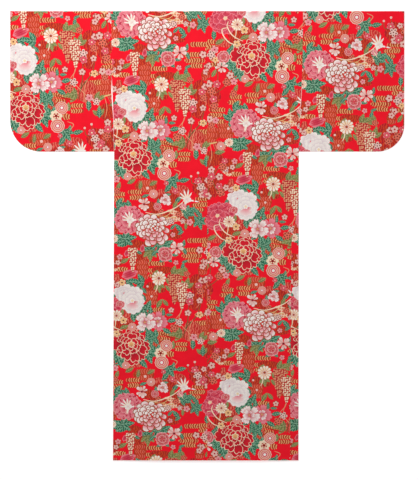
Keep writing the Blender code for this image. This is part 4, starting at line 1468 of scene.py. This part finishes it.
def sleeve_sheet(side):
    """One strip folded along the shoulder line, with a rounded corner below the hand."""
    radius = CORNER_RADIUS[side]
    inner = [(side * sleeve_edge(side, depth), depth) for depth in SLEEVE_DEPTHS]
    corner = []
    for step in range(CORNER_STEPS + 1):
        angle = math.pi / 2 * step / CORNER_STEPS
        across = CUFF_FROM_CENTRE - radius + radius * math.sin(angle)
        corner.append((side * across, SLEEVE_DEPTH - radius + radius * math.cos(angle)))
    outer = corner + [(side * CUFF_FROM_CENTRE, CUFF_OPENING)]
    outer_kinds = [CLOSED] * len(corner) + [HEM]
    lower_outer = [(x, -d) for x, d in reversed(outer)]
    outline = outer + lower_outer + [(x, -d) for x, d in reversed(inner[1:])] + inner
    kinds = (outer_kinds + [CLOSED] * len(lower_outer) + [SELVEDGE] * 4 + [SEAM] * 6
             + [SELVEDGE] * 4 + [CLOSED])
    place, half = laid_over_shoulder(side, lambda own_x: np.full_like(own_x, BACK_LOW), np.zeros_like)
    return Sheet("sleeve_" + SIDE_NAMES[side], side, outline, kinds, place, half, fold=True)


def collar_seam(depth):
    """The collar's sewn edge on the front, towards the piece's own side."""
    if depth <= TIP_DEPTH:
        return NECK_HALF + depth / TIP_DEPTH * (TIP_FROM_CENTRE - NECK_HALF) - GAP
    return TIP_FROM_CENTRE - GAP - (depth - TIP_DEPTH) / (COLLAR_END - TIP_DEPTH) * GORE_TOP


def okumi_sheet(side):
    """The narrow gore down the front opening."""
    inner = side * (TIP_FROM_CENTRE - GAP)
    top = TIP_DEPTH + TIP_CUT
    outline = [(inner, -top), (inner, -LENGTH), (side * (TIP_FROM_CENTRE - GORE_HEM), -LENGTH),
               (side * (TIP_FROM_CENTRE - GORE_TOP), -COLLAR_END), (side * (collar_seam(top) + GAP), -top)]
    kinds = [SEAM, HEM, HEM, SEAM, SELVEDGE]
    place, half = laid_over_shoulder(side, back_underside, partial(front_underside, side))
    return Sheet("okumi_" + SIDE_NAMES[side], side, outline, kinds, place, half)


def collar_sections():
    """Sections from the left end round the neck to the right: sewn edge, free edge, height."""
    neck_line, settled = 0.8 * MM, 0.200
    depths = (0.100, 0.150, settled, TIP_DEPTH, 0.330, 0.430, 0.530, 0.630, 0.730, COLLAR_END)

    def arm(side, depth):
        height = FRONT_HIGH
        if side == LEFT:
            height = FRONT_HIGH * float(smooth_fall(COLLAR_AT_NECK, settled, depth))
        width = np.interp(depth, (0, TIP_DEPTH, COLLAR_END),
                          (COLLAR_AT_NECK, COLLAR_AT_TIP, COLLAR_AT_END))
        return side * collar_seam(depth), depth, side * (collar_seam(depth) - width), depth, height

    def corner(side):
        free = side * (NECK_HALF - COLLAR_AT_NECK)
        return side * (NECK_HALF - GAP), neck_line, free, COLLAR_AT_NECK, FRONT_HIGH

    middle = (0.0, neck_line, 0.0, COLLAR_AT_NECK, FRONT_HIGH)
    return ([arm(LEFT, d) for d in reversed(depths)] + [corner(LEFT), middle, corner(RIGHT)]
            + [arm(RIGHT, d) for d in depths])


def collar_sheets():
    """The folded collar strip: its under and upper side, sewn and folded together at the edges."""
    rows = np.array(collar_sections())
    sewn, free, height = rows[:, 0:2], rows[:, 2:4], rows[:, 4]
    middle = (sewn + free) / 2
    along = np.concatenate([[0], np.cumsum(np.linalg.norm(np.diff(middle, axis=0), axis=1))])
    width = np.linalg.norm(free - sewn, axis=1)
    sheets = []
    for face in (-1, 1):
        outline = [(0.0, -a) for a in along] + [(w, -a) for a, w in zip(along[::-1], width[::-1])]
        kinds = [CLOSED] * (len(along) - 1) + [HEM] + [CLOSED] * (len(along) - 1) + [HEM]

        def place(points, lift, face=face):
            at = -points[:, 1]
            share = points[:, 0] / np.interp(at, along, width)
            spots = [np.interp(at, along, sewn[:, i]) * (1 - share)
                     + np.interp(at, along, free[:, i]) * share for i in (0, 1)]
            middle_z = np.interp(at, along, height) + COLLAR_WALL / 2
            z = middle_z + face * (COLLAR_WALL / 2 + lift)
            return np.stack([spots[0], TOP - spots[1], z], axis=1)

        sheets.append(Sheet("collar", 1, outline, kinds, place,
                            lambda points: np.full(len(points), COLLAR_WALL / 2)))
    return sheets


# Materials

CLOTH_GIVES_BACK = 0.98      # of the light, next to white paper

# Real sizes of the figures on the cloth
RIPPLE_PITCH = 8.75 * MM     # from one arc to the next
SWIRL_PITCH = 9.16 * MM      # from one bent line to the next
FLORET = 7.6 * MM
NET_CELL = 9.7 * MM
WOBBLE = 10 * MM             # how far a line runs before it bends
CLOUD = 40                   # mm, a patch of stronger or weaker ink
SLUB_LENGTH, SLUB_WIDTH = 50, 1.25           # mm, a thicker stretch of thread
WAVE_TURN = math.pi / 10     # from line to line in Blender's wave texture at a scale of 1
RIPPLE_BOW = 0.62            # how far an arc bows, in pitches
VEIN_STEPS, VEIN_SLANT = 9.0, -2.2           # bright and dark bands along a leaf, and their slant
STREAK_STEPS = 13.0          # bright and dark bands in a petal's fan
THREAD_SHARE = 0.6           # of the threads next to the slubs in the cloth's relief


def add_node(tree, kind, inputs=None, **settings):
    """Adds a node, sets its properties, gives its inputs links or values, and returns its outputs."""
    made = tree.nodes.new(kind)
    for name, value in settings.items():
        setattr(made, name, value)
    for socket, value in (inputs or {}).items():
        if isinstance(value, bpy.types.NodeSocket):
            tree.links.new(value, made.inputs[socket])
        else:
            made.inputs[socket].default_value = value
    return made.outputs


def fill_patterns(tree, across, along, kind):
    """How much of the line ink each kind of fill shows, added up to one factor.

    Across and along are in squares, or for ripples, leaves and petals in their own units.
    """
    maths, spread, cells = "ShaderNodeMath", "ShaderNodeMapRange", "ShaderNodeTexVoronoi"
    across_size = add_node(tree, maths, {0: across}, operation="ABSOLUTE")[0]
    place = add_node(tree, "ShaderNodeCombineXYZ", {0: across, 1: along})[0]
    wobble = add_node(tree, "ShaderNodeTexNoise",
                      {"Vector": place, "Scale": SQUARE / WOBBLE, "Detail": 1.0})[0]

    # ripples: arcs side by side in a row
    bow = add_node(tree, maths, {0: along, 1: along}, operation="MULTIPLY")[0]
    phase = add_node(tree, maths, {0: across, 1: SQUARE / RIPPLE_PITCH, 2: wobble},
                     operation="MULTIPLY_ADD")[0]
    phase = add_node(tree, maths, {0: bow, 1: RIPPLE_BOW, 2: phase}, operation="MULTIPLY_ADD")[0]
    ripple = add_node(tree, maths, {0: phase, 1: 0.5}, operation="PINGPONG")[0]
    ripple = add_node(tree, spread, {0: ripple, 1: 0.29, 2: 0.37})[0]

    # swirls: bent lines, like a bark
    swirl = add_node(tree, "ShaderNodeTexWave",
                     {"Vector": place, "Scale": WAVE_TURN * SQUARE / SWIRL_PITCH, "Distortion": 7.0,
                      "Detail": 1.0, "Detail Scale": 2.0})["Fac"]
    swirl = add_node(tree, spread, {0: swirl, 1: 0.58, 2: 0.78})[0]

    # florets: small round blossoms with dark gaps between them
    floret = add_node(tree, cells, {"Vector": place, "Scale": SQUARE / FLORET, "Randomness": 0.55},
                      voronoi_dimensions="2D")["Distance"]
    floret = add_node(tree, spread, {0: floret, 1: 0.34, 2: 0.46})[0]

    # veins: a midrib and slanting side veins
    slant = add_node(tree, maths, {0: across_size, 1: VEIN_SLANT}, operation="MULTIPLY")[0]
    slant = add_node(tree, maths, {0: along, 1: VEIN_STEPS, 2: slant}, operation="MULTIPLY_ADD")[0]
    vein = add_node(tree, maths, {0: slant, 1: 1.0}, operation="PINGPONG")[0]
    vein = add_node(tree, spread, {0: vein, 1: 0.68, 2: 0.84})[0]
    midrib = add_node(tree, spread, {0: across_size, 1: 0.13, 2: 0.07})[0]
    vein = add_node(tree, maths, {0: vein, 1: midrib}, operation="MAXIMUM")[0]

    # streaks: fine lines that fan out over a petal
    fan = add_node(tree, maths, {0: across, 1: along}, operation="DIVIDE")[0]
    fan = add_node(tree, maths, {0: fan, 1: STREAK_STEPS, 2: wobble}, operation="MULTIPLY_ADD")[0]
    streak = add_node(tree, maths, {0: fan, 1: 1.0}, operation="PINGPONG")[0]
    streak = add_node(tree, spread, {0: streak, 1: 0.62, 2: 0.95, 4: 0.55})[0]

    # net: a mesh of lines round small cells
    net = add_node(tree, cells, {"Vector": place, "Scale": SQUARE / NET_CELL, "Randomness": 0.30},
                   voronoi_dimensions="2D", feature="DISTANCE_TO_EDGE")["Distance"]
    net = add_node(tree, spread, {0: net, 1: 0.16, 2: 0.10})[0]

    total = None
    for number, factor in ((RIPPLES, ripple), (SWIRLS, swirl), (FLORETS, floret), (VEINS, vein),
                           (STREAKS, streak), (NET, net)):
        chosen = add_node(tree, maths, {0: kind, 1: float(number), 2: 0.4}, operation="COMPARE")[0]
        part = {0: chosen, 1: factor}
        if total is None:
            total = add_node(tree, maths, part, operation="MULTIPLY")[0]
        else:
            total = add_node(tree, maths, {**part, 2: total}, operation="MULTIPLY_ADD")[0]
    return total


def printed_cotton(name, sizes):
    """Plain-woven cotton, dyed and printed: dull, with threads that show a little in the light."""
    noise, spread = "ShaderNodeTexNoise", "ShaderNodeMapRange"
    maths, vector_maths = "ShaderNodeMath", "ShaderNodeVectorMath"
    material = bpy.data.materials.new(name)
    material.use_nodes = True
    tree = material.node_tree
    shader = tree.nodes["Principled BSDF"]
    ink_colour, line_colour = (add_node(tree, "ShaderNodeAttribute", attribute_name=layer)["Color"]
                               for layer in ("ink", "line"))
    fill, cloth = (add_node(tree, "ShaderNodeAttribute", attribute_name=layer)["Vector"]
                   for layer in ("fill", "cloth"))
    parts = add_node(tree, "ShaderNodeSeparateXYZ", {0: fill})
    factor = fill_patterns(tree, parts[0], parts[1], parts[2])
    colour = add_node(tree, "ShaderNodeMix", {0: factor, 6: ink_colour, 7: line_colour},
                      data_type="RGBA")[2]

    # the ink lies unevenly, in clouds and in thin slubs along the threads
    clouds = add_node(tree, noise, {"Vector": cloth, "Scale": 1 / CLOUD, "Detail": 3.0})[0]
    shade = add_node(tree, spread, {0: clouds, 1: 0.3, 2: 0.7, 3: 0.95 * CLOTH_GIVES_BACK,
                                    4: 1.04 * CLOTH_GIVES_BACK})[0]
    slubs = []
    for per_mm in ((1 / SLUB_LENGTH, 1 / SLUB_WIDTH, 1.0), (1 / SLUB_WIDTH, 1 / SLUB_LENGTH, 1.0)):
        thread = add_node(tree, vector_maths, {0: cloth, 1: per_mm}, operation="MULTIPLY")[0]
        slubs.append(add_node(tree, noise, {"Vector": thread, "Scale": 1.0, "Detail": 2.0})[0])
    slub = add_node(tree, maths, {0: slubs[0], 1: slubs[1]}, operation="ADD")[0]
    slub = add_node(tree, spread, {0: slub, 1: 0.6, 2: 1.4, 3: 0.95, 4: 1.05})[0]
    shade = add_node(tree, maths, {0: shade, 1: slub}, operation="MULTIPLY")[0]
    colour = add_node(tree, vector_maths, {0: colour, 3: shade}, operation="SCALE")[0]
    tree.links.new(colour, shader.inputs["Base Color"])

    # plain weave: real threads are some 0.45 mm apart, drawn coarser so that they show
    split = add_node(tree, "ShaderNodeSeparateXYZ", {0: cloth})
    turns = math.pi * MM / sizes.thread     # of the sine for each millimetre of cloth
    waves = []
    for axis in (0, 1):
        wave = add_node(tree, maths, {0: split[axis], 1: turns}, operation="MULTIPLY")[0]
        waves.append(add_node(tree, maths, {0: wave}, operation="SINE")[0])
    weave = add_node(tree, maths, {0: waves[0], 1: waves[1]}, operation="MULTIPLY")[0]
    weave = add_node(tree, maths, {0: weave, 1: THREAD_SHARE, 2: slub}, operation="MULTIPLY_ADD")[0]
    bump = add_node(tree, "ShaderNodeBump", {"Height": weave, "Strength": 0.6, "Distance": 0.3 * MM})[0]
    tree.links.new(bump, shader.inputs["Normal"])
    for socket, value in (("Roughness", 0.86), ("Specular IOR Level", 0.16), ("Sheen Weight", 0.04),
                          ("Sheen Roughness", 0.5)):
        shader.inputs[socket].default_value = value
    return material


def studio_paper(name, colour, glow):
    """Matt white paper on a light table, which gives a thing on it only a faint soft shadow."""
    material = bpy.data.materials.new(name)
    material.use_nodes = True
    shader = material.node_tree.nodes["Principled BSDF"]
    for socket, value in (("Base Color", (*colour, 1.0)), ("Roughness", 0.9),
                          ("Emission Color", (1, 1, 1, 1)), ("Emission Strength", glow)):
        shader.inputs[socket].default_value = value
    return material


# Operators

class Build:
    """What the operators share: the drawn repeat and the cloth's material."""

    repeat = None
    material = None

    @classmethod
    def prepare(cls, scene):
        if cls.repeat is None:
            cls.repeat = Repeat(scene.yukata_inks)
            cls.material = printed_cotton("plain_woven_printed_cotton", scene.yukata_cloth)
        return cls.repeat, cls.material


def add_piece(context, sheets):
    """Builds a piece of cloth from its sheets, hangs it under the root and hides its solid in its place."""
    name = sheets[0].panel
    repeat, material = Build.prepare(context.scene)
    piece = make_piece(name, sheets, repeat, context.scene.yukata_cloth, material)
    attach(piece, "root")
    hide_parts(name)
    sum(sheet.flat_area() for sheet in sheets)


class YUKATA_OT_body(bpy.types.Operator):
    """Builds the two body strips"""

    bl_idname = "yukata.body"
    bl_label = "Body"

    def execute(self, context):
        for side in (LEFT, RIGHT):
            add_piece(context, [body_sheet(side)])
        return {"FINISHED"}


class YUKATA_OT_sleeves(bpy.types.Operator):
    """Builds the two sleeves"""

    bl_idname = "yukata.sleeves"
    bl_label = "Sleeves"

    def execute(self, context):
        for side in (LEFT, RIGHT):
            sheet = sleeve_sheet(side)
            add_piece(context, [sheet])
        return {"FINISHED"}


class YUKATA_OT_okumi(bpy.types.Operator):
    """Builds the two front gores"""

    bl_idname = "yukata.okumi"
    bl_label = "Front gores"

    def execute(self, context):
        for side in (LEFT, RIGHT):
            add_piece(context, [okumi_sheet(side)])
        return {"FINISHED"}


class YUKATA_OT_collar(bpy.types.Operator):
    """Builds the folded collar"""

    bl_idname = "yukata.collar"
    bl_label = "Collar"

    def execute(self, context):
        sheets = collar_sheets()
        add_piece(context, sheets)
        return {"FINISHED"}


PHOTO_MIDDLE = 209.5         # squares across the photograph
VIEW_ASIDE = (PHOTO_MIDDLE - CENTRE_SQUARE) * SQUARE     # its middle, seen from the garment's
VIEW_UP = -14.9 * MM
SENSOR = 36.0
FAR_CLIP = 40.0
KEY_PLACE, KEY_TARGET = Vector((-0.7, 1.6, 1.8)), Vector((0.0, 0.3, 0.0))
KEY_SIZE = 1.2
FLOOR_HALF, FLOOR_DROP = 6.0, 0.2 * MM


class YUKATA_OT_stage(bpy.types.Operator):
    """Builds the floor, the lights and the camera"""

    bl_idname = "yukata.stage"
    bl_label = "Stage"

    def execute(self, context):
        stage = context.scene.yukata_stage
        collection = context.scene.collection
        mesh = bpy.data.meshes.new("floor")
        corners = [(x * FLOOR_HALF, y * FLOOR_HALF, -FLOOR_DROP)
                   for x, y in ((-1, -1), (1, -1), (1, 1), (-1, 1))]
        mesh.from_pydata(corners, [], [(0, 1, 2, 3)])
        mesh.materials.append(studio_paper("pale_studio_paper", stage.floor, stage.floor_glow))
        floor = bpy.data.objects.new("floor", mesh)
        collection.objects.link(floor)

        world = bpy.data.worlds.new("soft_studio")
        world.use_nodes = True
        background = world.node_tree.nodes["Background"]
        background.inputs["Color"].default_value = (1, 1, 1, 1)
        background.inputs["Strength"].default_value = stage.daylight
        context.scene.world = world
        lamp = bpy.data.lights.new("key", "AREA")
        lamp.energy = stage.key_power
        lamp.size = KEY_SIZE
        light = bpy.data.objects.new("key", lamp)
        light.location = KEY_PLACE
        light.rotation_euler = (KEY_TARGET - KEY_PLACE).to_track_quat("-Z", "Y").to_euler()
        collection.objects.link(light)

        lens = bpy.data.cameras.new("camera")
        lens.sensor_fit = "VERTICAL"
        lens.sensor_height = SENSOR
        lens.lens = SENSOR * stage.distance / stage.view_height
        lens.clip_end = FAR_CLIP
        camera = bpy.data.objects.new("camera", lens)
        camera.location = (VIEW_ASIDE, VIEW_UP, stage.distance + CAD_BOX[1][2])
        collection.objects.link(camera)
        context.scene.camera = camera
        context.scene.view_settings.view_transform = "Standard"
        return {"FINISHED"}


class YUKATA_PT_panel(bpy.types.Panel):
    """Lists the pieces and their settings"""

    bl_idname = "YUKATA_PT_panel"
    bl_label = "Yukata"
    bl_space_type = "VIEW_3D"
    bl_region_type = "UI"
    bl_category = "Yukata"

    def draw(self, context):
        layout = self.layout
        for operator in OPERATORS:
            layout.operator(operator.bl_idname)
        for group in (context.scene.yukata_cloth, context.scene.yukata_stage, context.scene.yukata_inks):
            box = layout.box()
            for name in group.__annotations__:
                box.prop(group, name)


OPERATORS = (YUKATA_OT_body, YUKATA_OT_sleeves, YUKATA_OT_okumi, YUKATA_OT_collar, YUKATA_OT_stage)
CLASSES = (PrintInks, ClothSizes, StageSizes) + OPERATORS + (YUKATA_PT_panel,)


def register():
    for cls in CLASSES:
        bpy.utils.register_class(cls)
    bpy.types.Scene.yukata_inks = PointerProperty(type=PrintInks)
    bpy.types.Scene.yukata_cloth = PointerProperty(type=ClothSizes)
    bpy.types.Scene.yukata_stage = PointerProperty(type=StageSizes)


def unregister():
    del bpy.types.Scene.yukata_stage
    del bpy.types.Scene.yukata_cloth
    del bpy.types.Scene.yukata_inks
    for cls in reversed(CLASSES):
        bpy.utils.unregister_class(cls)


def main():
    register()
    bpy.ops.yukata.body()
    bpy.ops.yukata.sleeves()
    bpy.ops.yukata.okumi()
    bpy.ops.yukata.collar()
    bpy.ops.yukata.stage()


if __name__ == "__main__":
    main()
